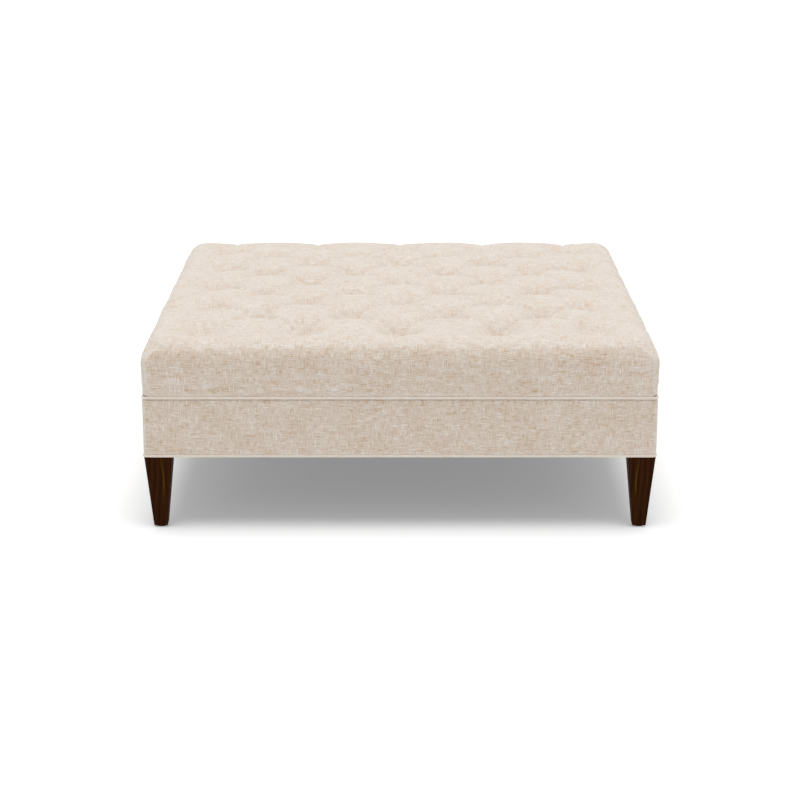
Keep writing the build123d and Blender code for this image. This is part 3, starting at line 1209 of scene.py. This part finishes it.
    def tufting(self, sheet: np.ndarray) -> np.ndarray:
        """Depth to which the cloth is drawn in at each point.

        Args:
            sheet: Places on the flat sheet.

        Returns:
            Depth below the untufted cushion.
        """
        lattice = self.crease_share(sheet)
        _, distance, _ = self.nearest_tuft(sheet)
        depth = self.valley_depth * (0.5 - 0.5 * np.cos(math.pi * lattice)).sum(axis=1)
        half_gap = self.pitch / math.sqrt(2.0)
        near = np.clip(1.0 - (1.0 - lattice) * half_gap / self.crease_width, 0.0, 1.0)
        faded = 1.0 - self.crease_fade * smooth_step(distance, 0.0, self.crease_reach)
        depth += self.crease_depth * (near**2).sum(axis=1) * faded
        for tuft in self.tufts():
            near = np.flatnonzero(np.abs(sheet - tuft).max(axis=1) < self.bowl_reach)
            square = (np.abs(sheet[near] - tuft) ** self.bowl_square).sum(axis=1) ** (1.0 / self.bowl_square)
            depth[near] += self.bowl_depth * np.clip(1.0 - square / self.bowl_reach, 0.0, 1.0) ** 2
            depth[near] += self.pit_depth * np.clip(1.0 - square / self.pit_reach, 0.0, 1.0) ** 2
        depth += self.pleat_depth * self.pleat_share(sheet) ** 2
        return depth

    def ease(self, sheet: np.ndarray, drop: np.ndarray) -> np.ndarray:
        """Small outward swell of hand-made upholstery: uneven stuffing, and slack creases on the sides.

        Args:
            sheet: Places on the flat sheet.
            drop: Depth of each point below the crest.

        Returns:
            Outward shift of each point.
        """
        s, t = sheet[:, 0], sheet[:, 1]
        swell = 0.35 * MM * soft_noise(s, t, 0.16, 11) - 0.4 * MM
        swell += self.crown * smooth_step(self.crown_edge - np.abs(sheet).max(axis=1), 0.0, self.crown_margin)
        side = smooth_step(drop, 0.6 * self.roll, 1.3 * self.roll)
        pull = 1.0 - smooth_step(self.height - drop, 6.0 * MM, 46.0 * MM)
        run = np.where(np.abs(s) > np.abs(t), t, s)
        swell += 0.45 * MM * side * soft_noise(run * 0.45, drop * 2.2, 0.045, 12)
        swell += 0.35 * MM * side * pull * soft_noise(run, drop * 0.3, 0.028, 13)
        return swell * smooth_step(self.height - drop, 2.0 * MM, 14.0 * MM)

    def gathers(self, sheet: np.ndarray) -> np.ndarray:
        """Little folds that fan out from each tuft.

        Args:
            sheet: Places on the flat sheet.

        Returns:
            Outward shift of each point.
        """
        number, distance, angle = self.nearest_tuft(sheet)
        rng = np.random.default_rng(21)
        count = len(self.tufts())
        total = np.zeros(len(sheet))
        for folds in (7, 11, 16):
            phase = rng.uniform(0.0, 2.0 * math.pi, count)[number]
            strength = rng.uniform(0.4, 1.0, count)[number]
            total += strength * np.cos(folds * angle + phase + 60.0 * distance) * (7.0 / folds)
        fan = (distance / self.gather_reach) * np.exp(1.0 - distance / self.gather_reach)
        return self.gather_height * total * fan * (distance < self.bowl_reach)

    def simulate(self, piece: bpy.types.Object, held: np.ndarray) -> None:
        """Let the cloth settle over its stuffing by a short simulation.

        Args:
            piece: Sheet laid over the cushion.
            held: How firmly each vertex is held, from 0 to 1.
        """
        start = read_points(piece.data)
        group = piece.vertex_groups.new(name="held")
        levels = np.round(held, 2)
        for level in np.unique(levels[levels > 0.0]):
            group.add([int(number) for number in np.flatnonzero(levels == level)], float(level), "REPLACE")
        cloth = piece.modifiers.new("settling", "CLOTH")
        cloth.settings.quality = 4
        cloth.settings.mass = 0.25
        cloth.settings.tension_stiffness = 14.0
        cloth.settings.compression_stiffness = 8.0
        cloth.settings.shear_stiffness = 4.0
        cloth.settings.bending_stiffness = 0.35
        cloth.settings.vertex_group_mass = "held"
        cloth.settings.pin_stiffness = 1.0
        cloth.settings.shrink_min = -0.025
        cloth.settings.use_pressure = True
        cloth.settings.uniform_pressure_force = 4.0
        cloth.settings.effector_weights.gravity = 0.0
        cloth.collision_settings.use_collision = False
        cloth.point_cache.frame_start = 1
        cloth.point_cache.frame_end = self.settling_frames
        scene = bpy.context.scene
        for number in range(1, self.settling_frames + 1):
            scene.frame_set(number)
        shape = piece.evaluated_get(bpy.context.evaluated_depsgraph_get()).to_mesh()
        moved = read_points(shape) - start
        piece.modifiers.remove(cloth)
        piece.vertex_groups.remove(group)
        scene.frame_set(1)
        length = np.linalg.norm(moved, axis=1)
        LOG.info("cloth moved %.1f mm at most, %.1f mm on average", length.max() / MM, length.mean() / MM)
        cap = self.settling_cap
        moved *= (cap * np.tanh(length / cap) / np.maximum(length, 1e-9))[:, None]
        write_points(piece.data, start + moved)

    def close_underside(self, piece: bpy.types.Object) -> None:
        """Turn the cloth in at the seam and line the hollow for the foam, so that the form is closed.

        Args:
            piece: Cushion whose rim is open at the seam.
        """
        bm = bmesh.new()
        bm.from_mesh(piece.data)
        rim = [edge for edge in bm.edges if edge.is_boundary]
        inner = self.reach - self.foam_side_cover + self.foam_fit
        lining = Outline(inner, inner, self.foam_radius)
        for level in (self.seam_z, self.foam_top_z):
            rim, verts = extrude_rim(bm, rim)
            for vert in verts:
                vert.co = lining.nearest(vert.co, level)
        bmesh.ops.edgeloop_fill(bm, edges=rim)
        bmesh.ops.recalc_face_normals(bm, faces=bm.faces)
        bm.to_mesh(piece.data)
        bm.free()

    def build(self) -> bpy.types.Object:
        """Make the whole cushion.

        Returns:
            The closed tufted form.
        """
        piece = make_object("tufted_cushion", self.build_sheet())
        mesh = piece.data
        cube = read_points(mesh)
        points, sheet = self.lay(cube)
        write_points(mesh, points)
        drop = self.crest_z - points[:, 2]
        normals = read_points(mesh, normals=True)
        up = np.array([0.0, 0.0, 1.0])
        share = smooth_step(drop, 0.05 * self.roll, 0.8 * self.roll)[:, None]
        outward = normals * share + up * (1.0 - share)
        outward /= np.linalg.norm(outward, axis=1)[:, None]
        shift = self.ease(sheet, drop) - self.tufting(sheet)
        spare = self.deepest - self.free_depth
        past = np.maximum(-shift - self.free_depth, 0.0)
        shift = np.maximum(shift, -self.free_depth) - spare * np.tanh(past / spare)
        write_points(mesh, points + outward * shift[:, None])
        _, distance, _ = self.nearest_tuft(sheet)
        creases = np.clip(self.crease_share(sheet), 0.0, 1.0).max(axis=1)
        held = 0.35 * smooth_step(creases, 0.80, 1.0)
        held = np.maximum(held, 1.0 - smooth_step(distance, 5.0 * MM, 12.0 * MM))
        held = np.maximum(held, 1.0 - smooth_step(self.height - drop, 4.0 * MM, 18.0 * MM))
        held = np.maximum(held, 0.6 * smooth_step(drop, 0.3 * self.roll, self.roll))
        self.simulate(piece, held)
        finer = piece.modifiers.new("finer", "SUBSURF")
        finer.levels = finer.render_levels = 1
        finer.boundary_smooth = "PRESERVE_CORNERS"
        self.add_sheet_layers(mesh, sheet)
        fine = bpy.data.meshes.new_from_object(piece.evaluated_get(bpy.context.evaluated_depsgraph_get()))
        piece.modifiers.clear()
        piece.data = fine
        bpy.data.meshes.remove(mesh)
        fine.name = piece.name
        sheet = np.stack([read_layer(fine, "sheet_s"), read_layer(fine, "sheet_t")], axis=1)
        normals = read_points(fine, normals=True)
        write_points(fine, read_points(fine) + normals * self.gathers(sheet)[:, None])
        for name in ("sheet_s", "sheet_t"):
            fine.attributes.remove(fine.attributes[name])
        self.close_underside(piece)
        piece.data.shade_smooth()
        return settle_piece(piece, LINEN, "top_cover")

    @staticmethod
    def add_sheet_layers(mesh: bpy.types.Mesh, sheet: np.ndarray) -> None:
        """Store each vertex's place on the flat sheet in two float layers.

        Args:
            mesh: Mesh of the sheet.
            sheet: Places on the flat sheet.
        """
        for name, values in zip(("sheet_s", "sheet_t"), sheet.T):
            layer = mesh.attributes.new(name, "FLOAT", "POINT")
            layer.data.foreach_set("value", values.astype(np.float32))


@dataclass
class Piping:
    """Self-covered cord sewn into a seam right round the body."""

    title: str
    node: str
    corner_radius: float = 10.0 * MM
    facets: int = 14
    step: float = 7.0 * MM
    corner_steps: int = 8

    def __post_init__(self) -> None:
        """Take the cord's place and thickness from the frame."""
        low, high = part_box(self.node)
        self.radius = (high.z - low.z) / 2.0
        self.level = (high.z + low.z) / 2.0
        self.path = Outline(high.x - self.radius, high.y - self.radius, self.corner_radius - self.radius)

    def build(self) -> bpy.types.Object:
        """Draw the cord's section once round the path.

        Returns:
            The closed ring of piping.
        """
        bm = bmesh.new()
        upright = Matrix.Rotation(math.pi / 2.0, 4, "Y")
        start = Matrix.Translation((0.0, self.path.half_y, self.level)) @ upright
        bmesh.ops.create_circle(bm, cap_ends=False, segments=self.facets, radius=self.radius, matrix=start)
        edges = list(bm.edges)
        run = self.path.half_x - self.path.radius
        for quarter in range(4):
            heading = Matrix.Rotation(-math.pi / 2.0 * quarter, 4, "Z")
            edges = self.straight(bm, edges, heading @ Vector((run, 0.0, 0.0)))
            centre = heading @ Vector((run, run, 0.0))
            edges = self.corner(bm, edges, centre)
            edges = self.straight(bm, edges, heading @ Vector((0.0, -run, 0.0)))
        bmesh.ops.remove_doubles(bm, verts=bm.verts, dist=0.02 * MM)
        bmesh.ops.recalc_face_normals(bm, faces=bm.faces)
        self.map_cord(bm)
        self.pucker(bm)
        piece = make_object(self.title, bm)
        # The cord wears the linen lightened into a painted highlight.
        return settle_piece(piece, PIPING_PAINTED_HIGHLIGHT, self.node)

    def straight(self, bm: bmesh.types.BMesh, edges: list, run: Vector) -> list:
        """Draw the section along a straight run in even steps.

        Args:
            bm: Mesh of the cord.
            edges: Ring of edges to draw on.
            run: Way to go.

        Returns:
            The last ring of edges.
        """
        steps = max(1, round(run.length / self.step))
        for _ in range(steps):
            edges, verts = extrude_rim(bm, edges)
            bmesh.ops.translate(bm, vec=run / steps, verts=verts)
        return edges

    def corner(self, bm: bmesh.types.BMesh, edges: list, centre: Vector) -> list:
        """Draw the section round a corner.

        Args:
            bm: Mesh of the cord.
            edges: Ring of edges to draw on.
            centre: Middle of the bend.

        Returns:
            The last ring of edges.
        """
        turn = Matrix.Rotation(-math.pi / 2.0 / self.corner_steps, 3, "Z")
        for _ in range(self.corner_steps):
            edges, verts = extrude_rim(bm, edges)
            bmesh.ops.rotate(bm, cent=centre, matrix=turn, verts=verts)
        return edges

    def map_cord(self, bm: bmesh.types.BMesh) -> None:
        """Give the cord a cloth map: along it by run, and round it by turn.

        Args:
            bm: Mesh of the cord.
        """
        layer = bm.loops.layers.uv.new(CLOTH_MAP)
        whole = self.path.length()
        round_it = 2.0 * math.pi
        for face in bm.faces:
            centre = face.calc_center_median()
            middle, out = self.path.locate(centre.x, centre.y)
            middle_turn = math.atan2(centre.z - self.level, out)
            for loop in face.loops:
                point = loop.vert.co
                run, out = self.path.locate(point.x, point.y)
                turn = math.atan2(point.z - self.level, out)
                run += whole * round((middle - run) / whole)
                turn += round_it * round((middle_turn - turn) / round_it)
                loop[layer].uv = (run, turn * self.radius)

    def pucker(self, bm: bmesh.types.BMesh) -> None:
        """Make the cord slightly uneven, as cloth over a cord is, and never thicker than it was.

        Args:
            bm: Mesh of the cord.
        """
        runs = np.array([self.path.locate(vert.co.x, vert.co.y)[0] for vert in bm.verts])
        flat = 0.0 * runs
        uneven = 0.5 + 0.35 * soft_noise(runs, flat, 0.022, 31) + 0.2 * soft_noise(runs, flat, 0.2, 32)
        for vert, dent in zip(bm.verts, np.clip(uneven, 0.0, 1.0)):
            centre = self.path.nearest(vert.co, self.level)
            vert.co = centre + (vert.co - centre) * (1.0 - 0.07 * dent)


@dataclass
class Band:
    """Cloth band between the two rows of piping, with the wadding behind it and the hem below it."""

    cloth_thickness: float = 1.0 * MM
    corner_radius: float = 8.0 * MM
    wave_height: float = 0.35 * MM
    seam_tuck: float = 0.9 * MM
    hem_tuck: float = 0.3 * MM
    loft_waves: float = 0.3 * MM
    hem_width: float = 16.0 * MM
    hem_radius: float = 7.0 * MM

    def build_cover(self) -> bpy.types.Object:
        """Make the band's cloth, a closed strip, slightly uneven where the wadding swells behind it."""
        low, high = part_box("band_cover")
        outline = Outline(high.x, high.y, self.corner_radius)
        bm = rounded_walls(outline, low.z, high.z, 10.0 * MM, 28)
        map_round(bm, outline)
        bm.normal_update()
        runs = np.array([outline.locate(vert.co.x, vert.co.y)[0] for vert in bm.verts])
        heights = np.array([vert.co.z for vert in bm.verts])
        waves = np.clip(0.5 * soft_noise(runs, heights, 0.11, 41), -1.0, 1.0)
        sink = self.wave_height * (0.5 + 0.5 * waves)
        sink += self.seam_tuck * (1.0 - smooth_step(high.z - heights, 0.0, 4.5 * MM))
        sink += self.hem_tuck * (1.0 - smooth_step(heights - low.z, 0.0, 6.0 * MM))
        for vert, depth in zip(bm.verts, sink):
            vert.co -= vert.normal * depth
        piece = make_object("band_cloth", bm)
        thicken(piece, self.cloth_thickness)
        return settle_piece(piece, LINEN, "band_cover")

    def build_wadding(self) -> bpy.types.Object:
        """Make the wadding sleeve behind the cloth, open where the frame fills it."""
        low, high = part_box("band_padding")
        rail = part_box("rail_front")[0]
        outline = Outline(high.x, high.y, self.corner_radius - self.cloth_thickness)
        bm = rounded_walls(outline, low.z, high.z, 24.0 * MM, 6)
        depth = rail.x - low.x
        for vert in bm.verts:
            swell = math.sin(vert.co.x * 61.0) * math.sin(vert.co.y * 57.0 + vert.co.z * 70.0)
            vert.co -= vert.normal * self.loft_waves * (0.5 + 0.5 * swell)
        piece = make_object("band_wadding", bm)
        thicken(piece, depth - 2.0 * self.loft_waves)
        return settle_piece(piece, WADDING, "band_padding")

    def build_hem(self) -> bpy.types.Object:
        """Make the band's lower edge: up behind the piping, and turned in flat under the rails."""
        low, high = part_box("bottom_hem")
        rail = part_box("rail_front")[1]
        outline = Outline(high.x, high.y, self.hem_radius)
        bm = rounded_walls(outline, low.z, high.z, 14.0 * MM, 3)
        rim = [edge for edge in bm.edges if edge.is_boundary and edge.verts[0].co.z < low.z + 0.1 * MM]
        inner = rail.x - self.hem_width
        for share in (0.5, 1.0):
            inset = high.x + (inner - high.x) * share
            turned = Outline(inset, inset, self.hem_radius)
            rim, verts = extrude_rim(bm, rim)
            for vert in verts:
                vert.co = turned.nearest(vert.co, low.z)
        bmesh.ops.recalc_face_normals(bm, faces=bm.faces)
        map_round(bm, outline)
        piece = make_object("bottom_hem_cloth", bm)
        thicken(piece, self.cloth_thickness)
        return settle_piece(piece, LINEN, "bottom_hem")


@dataclass
class Leg:
    """Square leg with a taper on all four sides and eased edges."""

    place: str
    top_side: float = 55.0 * MM
    foot_side: float = 27.0 * MM
    edge: float = 1.6 * MM
    rows: int = 12

    def build(self) -> bpy.types.Object:
        """Make the leg round its CAD node's place.

        Returns:
            The finished leg.
        """
        node = f"leg_{self.place}"
        low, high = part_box(node)
        bm = bmesh.new()
        bmesh.ops.create_cube(bm, size=1.0)
        wear = bm.verts.layers.float.new(WEAR_LAYER)
        for vert in bm.verts:
            side = self.top_side if vert.co.z > 0.0 else self.foot_side
            vert.co = Vector((vert.co.x * side, vert.co.y * side, (vert.co.z + 0.5) * (high.z - low.z)))
        corner_edges = [edge for edge in bm.edges if abs(edge.verts[0].co.z - edge.verts[1].co.z) > self.edge]
        foot_edges = [edge for edge in bm.edges if max(vert.co.z for vert in edge.verts) < self.edge]
        for face in bevel_edges(bm, corner_edges + foot_edges, self.edge, 3):
            for vert in face.verts:
                vert[wear] = 1.0
        long_edges = [edge for edge in bm.edges if edge.calc_length() > 0.8 * (high.z - low.z)]
        bmesh.ops.subdivide_edges(bm, edges=long_edges, cuts=self.rows - 1, use_grid_fill=True)
        bmesh.ops.translate(bm, vec=((low.x + high.x) / 2.0, (low.y + high.y) / 2.0, low.z), verts=bm.verts)
        bmesh.ops.recalc_face_normals(bm, faces=bm.faces)
        piece = make_object(f"walnut_leg_{self.place}", bm)
        soften_angles(piece, 20.0)
        return settle_piece(piece, WALNUT, node)


@dataclass
class Glides:
    """Round nylon glides nailed under the legs."""

    edge: float = 0.9 * MM
    nail_side: float = 2.6 * MM
    nail_length: float = 14.0 * MM
    segments: int = 40

    def build(self) -> bpy.types.Object:
        """Spin the discs and stand a nail on each.

        Returns:
            All four glides in one piece.
        """
        low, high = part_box("leg_glides")
        foot_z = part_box("leg_front_left")[0].z
        leg_low, leg_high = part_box("leg_back_right")
        centre = (leg_low + leg_high) / 2.0
        radius = high.x - centre.x
        bm = bmesh.new()
        for side_x, side_y in CORNERS.values():
            place = Vector((side_x * centre.x, side_y * centre.y, 0.0))
            bend = 0.3 * self.edge
            outline = [
                (0.0, 0.0),
                (radius - self.edge, 0.0),
                (radius - bend, bend),
                (radius, self.edge),
                (radius, foot_z),
                (0.0, foot_z),
            ]
            verts = [bm.verts.new(place + Vector((out, 0.0, up + low.z))) for out, up in outline]
            edges = [bm.edges.new(pair) for pair in zip(verts, verts[1:])]
            bmesh.ops.spin(
                bm,
                geom=verts + edges,
                cent=place,
                axis=(0.0, 0.0, 1.0),
                angle=2.0 * math.pi,
                steps=self.segments,
                use_merge=True,
                use_duplicate=False,
            )
            size = Matrix.Diagonal((self.nail_side, self.nail_side, self.nail_length, 1.0))
            lift = Matrix.Translation(place + Vector((0.0, 0.0, foot_z + self.nail_length / 2.0)))
            bmesh.ops.create_cube(bm, size=1.0, matrix=lift @ size)
        bmesh.ops.remove_doubles(bm, verts=bm.verts, dist=0.01 * MM)
        bmesh.ops.recalc_face_normals(bm, faces=bm.faces)
        piece = make_object("nylon_glides", bm)
        soften_angles(piece)
        return settle_piece(piece, NYLON, "leg_glides")


@dataclass
class Underside:
    """Black cloth that closes the bottom, and the staples that hold it."""

    cell: float = 8.0 * MM
    thickness: float = 0.3 * MM
    lift: float = 0.75 * MM
    swell: float = 0.75 * MM
    pucker: float = 0.5 * MM
    leg_gap: float = 4.0 * MM
    staple_spacing: float = 46.0 * MM
    staple_inset: float = 9.0 * MM
    crown: float = 11.0 * MM
    wire: float = 0.7 * MM
    wire_width: float = 1.2 * MM

    def __post_init__(self) -> None:
        """Take the cloth's place from the frame."""
        self.low, self.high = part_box("dust_cover")
        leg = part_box("leg_back_right")[0]
        self.notch = leg.x - self.leg_gap

    def staple_places(self) -> list[tuple[float, float, float]]:
        """Middle and turn of each staple, round the edge of the cloth."""
        rng = np.random.default_rng(51)
        places = []
        out = self.high.x - self.staple_inset
        count = int(2.0 * self.notch / self.staple_spacing)
        for number in range(count + 1):
            along = (number / count - 0.5) * 2.0 * (self.notch - self.staple_inset)
            for side in (-1.0, 1.0):
                wobble = rng.uniform(-1.0, 1.0, 4)
                places.append((along + 3.0 * MM * wobble[0], side * out, 0.14 * wobble[1]))
                places.append((side * out, along + 3.0 * MM * wobble[2], math.pi / 2.0 + 0.14 * wobble[3]))
        return places

    def build_cloth(self) -> bpy.types.Object:
        """Make the notched cloth, with slight sag and puckers between the staples."""
        width = self.high.x - self.low.x
        cells = round(width / self.cell)
        bm = bmesh.new()
        bmesh.ops.create_grid(bm, x_segments=cells, y_segments=cells, size=width / 2.0)
        notch = self.notch
        nearest = min((abs(abs(vert.co.x) - notch), abs(vert.co.x)) for vert in bm.verts)[1]
        cut = [face for face in bm.faces if min(abs(part) for part in face.calc_center_median().xy) > nearest]
        bmesh.ops.delete(bm, geom=cut, context="FACES")
        for vert in bm.verts:
            for axis in (0, 1):
                if abs(abs(vert.co[axis]) - nearest) < 0.1 * self.cell:
                    vert.co[axis] = math.copysign(notch, vert.co[axis])
        map_flat(bm)
        points = np.array([vert.co for vert in bm.verts])
        staples = np.array([place[:2] for place in self.staple_places()])
        apart = points[:, None, :2] - staples[None, :, :]
        gap = np.hypot(apart[..., 0], apart[..., 1]).min(axis=1)
        edge = self.high.x - np.abs(points[:, :2]).max(axis=1)
        lift = self.swell * smooth_step(edge, 0.0, 0.3)
        slack = smooth_step(gap, 3.0 * MM, 24.0 * MM)
        waves = np.clip(0.6 * soft_noise(points[:, 0], points[:, 1], 0.06, 52), -1.0, 1.0)
        lift += self.pucker * slack * (1.0 + waves)
        for vert, height in zip(bm.verts, lift):
            vert.co.z = self.high.z - 0.2 * MM - height
        bmesh.ops.reverse_faces(bm, faces=bm.faces)
        piece = make_object("dust_cloth", bm)
        thicken(piece, self.thickness, 0.0)
        return settle_piece(piece, DUST_CLOTH, "dust_cover")

    def build_staples(self) -> bpy.types.Object:
        """Make the staples' crowns, flat on the cloth."""
        bm = bmesh.new()
        for x, y, turn in self.staple_places():
            place = Matrix.Translation((x, y, self.high.z - self.lift)) @ Matrix.Rotation(turn, 4, "Z")
            size = Matrix.Diagonal((self.crown, self.wire_width, self.wire, 1.0))
            bmesh.ops.create_cube(bm, size=1.0, matrix=place @ size)
        bevel_edges(bm, bm.edges, 0.2 * MM, 1)
        piece = make_object("underside_staples", bm)
        soften_angles(piece)
        return settle_piece(piece, STAPLE_WIRE)


@dataclass
class Stuffing:
    """Foam slab and the twines that hold the tufts down through it."""

    foam_radius: float = 14.0 * MM
    twine_width: float = 3.0 * MM
    twine_thickness: float = 1.0 * MM
    tail: float = 16.0 * MM

    def build_foam(self) -> bpy.types.Object:
        """Make the foam slab.

        Returns:
            The slab, with rounded corners.
        """
        low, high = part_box("foam_core")
        outline = Outline(high.x, high.y, self.foam_radius)
        bm = rounded_walls(outline, low.z, high.z, 24.0 * MM, 4)
        for level in (low.z, high.z):
            rim = [edge for edge in bm.edges if edge.is_boundary and abs(edge.verts[0].co.z - level) < MM]
            bmesh.ops.edgeloop_fill(bm, edges=rim)
        bmesh.ops.recalc_face_normals(bm, faces=bm.faces)
        top = [face for face in bm.faces if face.normal.z > 0.9]
        bmesh.ops.inset_region(bm, faces=top, thickness=6.0 * MM, use_even_offset=True)
        map_flat(bm)
        piece = make_object("foam_slab", bm)
        soften_angles(piece)
        return settle_piece(piece, FOAM, "foam_core")

    def build_twines(self, tufts: np.ndarray) -> bpy.types.Object:
        """Make the flat twines, each with its tail turned along the deck.

        Args:
            tufts: Places of the tufts in plan.

        Returns:
            All twines in one piece.
        """
        low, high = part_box("tuft_twines")
        bm = bmesh.new()
        drop = high.z - low.z
        for x, y in tufts:
            size = Matrix.Diagonal((self.twine_width, self.twine_thickness, drop, 1.0))
            lift = Matrix.Translation((x, y, low.z + drop / 2.0))
            bmesh.ops.create_cube(bm, size=1.0, matrix=lift @ size)
            half = self.twine_thickness / 2.0
            size = Matrix.Diagonal((self.twine_width, self.tail - half, self.twine_thickness, 1.0))
            lay = Matrix.Translation((x, y + (self.tail + half) / 2.0, low.z + half))
            bmesh.ops.create_cube(bm, size=1.0, matrix=lay @ size)
        bevel_edges(bm, bm.edges, 0.25 * MM, 1)
        piece = make_object("tuft_twine_set", bm)
        soften_angles(piece)
        return settle_piece(piece, TWINE, "tuft_twines")


class Workshop:
    """Finishes for the CAD pieces that keep their own shape."""

    finishes: dict[str, Finish] = {
        "rail_front": PINE[Grain.ACROSS],
        "rail_back": PINE[Grain.ACROSS],
        "rail_left": PINE[Grain.DEEP],
        "rail_right": PINE[Grain.DEEP],
        "cross_rail": PINE[Grain.DEEP],
        "corner_block": PINE[Grain.ACROSS],
        "deck_slat": PINE[Grain.ACROSS],
        "tack_strip": CARD,
        "hanger_bolts": ZINC,
        "tee_nuts": ZINC,
        "tuft_staples": STAPLE_WIRE,
    }

    def dress_nodes(self) -> None:
        """Give each CAD node that is still shown its finish."""
        for name, node in sorted(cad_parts.items()):
            if node.hide_render:
                continue
            finish = next(self.finishes[stem] for stem in self.finishes if name.startswith(stem))
            cover(node, finish)
            LOG.info("%s: CAD shape in %s", name, finish.name)


@dataclass
class Studio:
    """Camera, light and the plain pale floor."""

    camera_back: float = 4.463
    camera_height: float = 1.361
    pitch: float = 15.446
    lens: float = 94.12
    sensor: float = 36.0
    floor_half: float = 40.0
    floor_albedo: float = 0.80
    floor_glow: float = 0.245
    sky: float = 0.47
    overhead: float = 2.17
    overhead_width: float = 46.0
    overhead_tilt: float = 5.0

    def build(self) -> None:
        """Set up the whole studio."""
        self.place_camera()
        self.lay_floor()
        self.raise_sky()
        self.hang_lights()
        bpy.context.scene.view_settings.view_transform = "Standard"

    def place_camera(self) -> None:
        """Put the camera where the photographer stood."""
        data = bpy.data.cameras.new("studio_camera")
        data.lens = self.lens
        data.sensor_width = self.sensor
        data.clip_end = 200.0
        camera = bpy.data.objects.new("studio_camera", data)
        camera.location = (0.0, -self.camera_back, self.camera_height)
        camera.rotation_euler = (math.radians(90.0 - self.pitch), 0.0, 0.0)
        bpy.context.scene.collection.objects.link(camera)
        bpy.context.scene.camera = camera

    def lay_floor(self) -> None:
        """Lay a wide pale floor, backlit a little like a light table."""
        bm = bmesh.new()
        bmesh.ops.create_grid(bm, x_segments=4, y_segments=4, size=self.floor_half)
        floor = make_object("studio_floor", bm, smooth=False)
        paint = bpy.data.materials.new("pale_floor")
        paint.use_nodes = True
        shader = paint.node_tree.nodes["Principled BSDF"]
        shader.inputs["Base Color"].default_value = (*(self.floor_albedo,) * 3, 1.0)
        shader.inputs["Emission Color"].default_value = (1.0, 1.0, 1.0, 1.0)
        shader.inputs["Emission Strength"].default_value = self.floor_glow
        shader.inputs["Roughness"].default_value = 0.9
        shader.inputs["Specular IOR Level"].default_value = 0.0
        floor.data.materials.append(paint)

    def raise_sky(self) -> None:
        """Fill from an even white sky, which looks as white as the floor beyond the floor's edge."""
        world = bpy.data.worlds.new("studio_sky")
        world.use_nodes = True
        nodes, links = world.node_tree.nodes, world.node_tree.links
        fill = nodes["Background"]
        backdrop = nodes.new("ShaderNodeBackground")
        seen = nodes.new("ShaderNodeLightPath")
        choice = nodes.new("ShaderNodeMixShader")
        for background, strength in ((fill, self.sky), (backdrop, 1.0)):
            background.inputs["Color"].default_value = (1.0, 1.0, 1.0, 1.0)
            background.inputs["Strength"].default_value = strength
        links.new(seen.outputs["Is Camera Ray"], choice.inputs[0])
        links.new(fill.outputs[0], choice.inputs[1])
        links.new(backdrop.outputs[0], choice.inputs[2])
        links.new(choice.outputs[0], nodes["World Output"].inputs["Surface"])
        bpy.context.scene.world = world

    def hang_lights(self) -> None:
        """Hang one wide soft light above."""
        data = bpy.data.lights.new("overhead_softbox", "SUN")
        data.energy = self.overhead
        data.angle = math.radians(self.overhead_width)
        light = bpy.data.objects.new("overhead_softbox", data)
        light.rotation_euler = (math.radians(self.overhead_tilt), 0.0, 0.0)
        bpy.context.scene.collection.objects.link(light)


def main() -> None:
    """Build and dress the ottoman, piece by piece."""
    logging.basicConfig(level=logging.INFO, format="%(message)s")
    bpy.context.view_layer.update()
    Studio().build()
    cushion = Cushion()
    cushion.build()
    Piping("seam_piping", "upper_welt").build()
    Piping("base_piping", "lower_welt").build()
    band = Band()
    band.build_wadding()
    band.build_cover()
    band.build_hem()
    for place in CORNERS:
        Leg(place).build()
    Glides().build()
    underside = Underside()
    underside.build_cloth()
    underside.build_staples()
    stuffing = Stuffing()
    stuffing.build_foam()
    stuffing.build_twines(cushion.tufts())
    Workshop().dress_nodes()


if __name__ == "__main__":
    main()
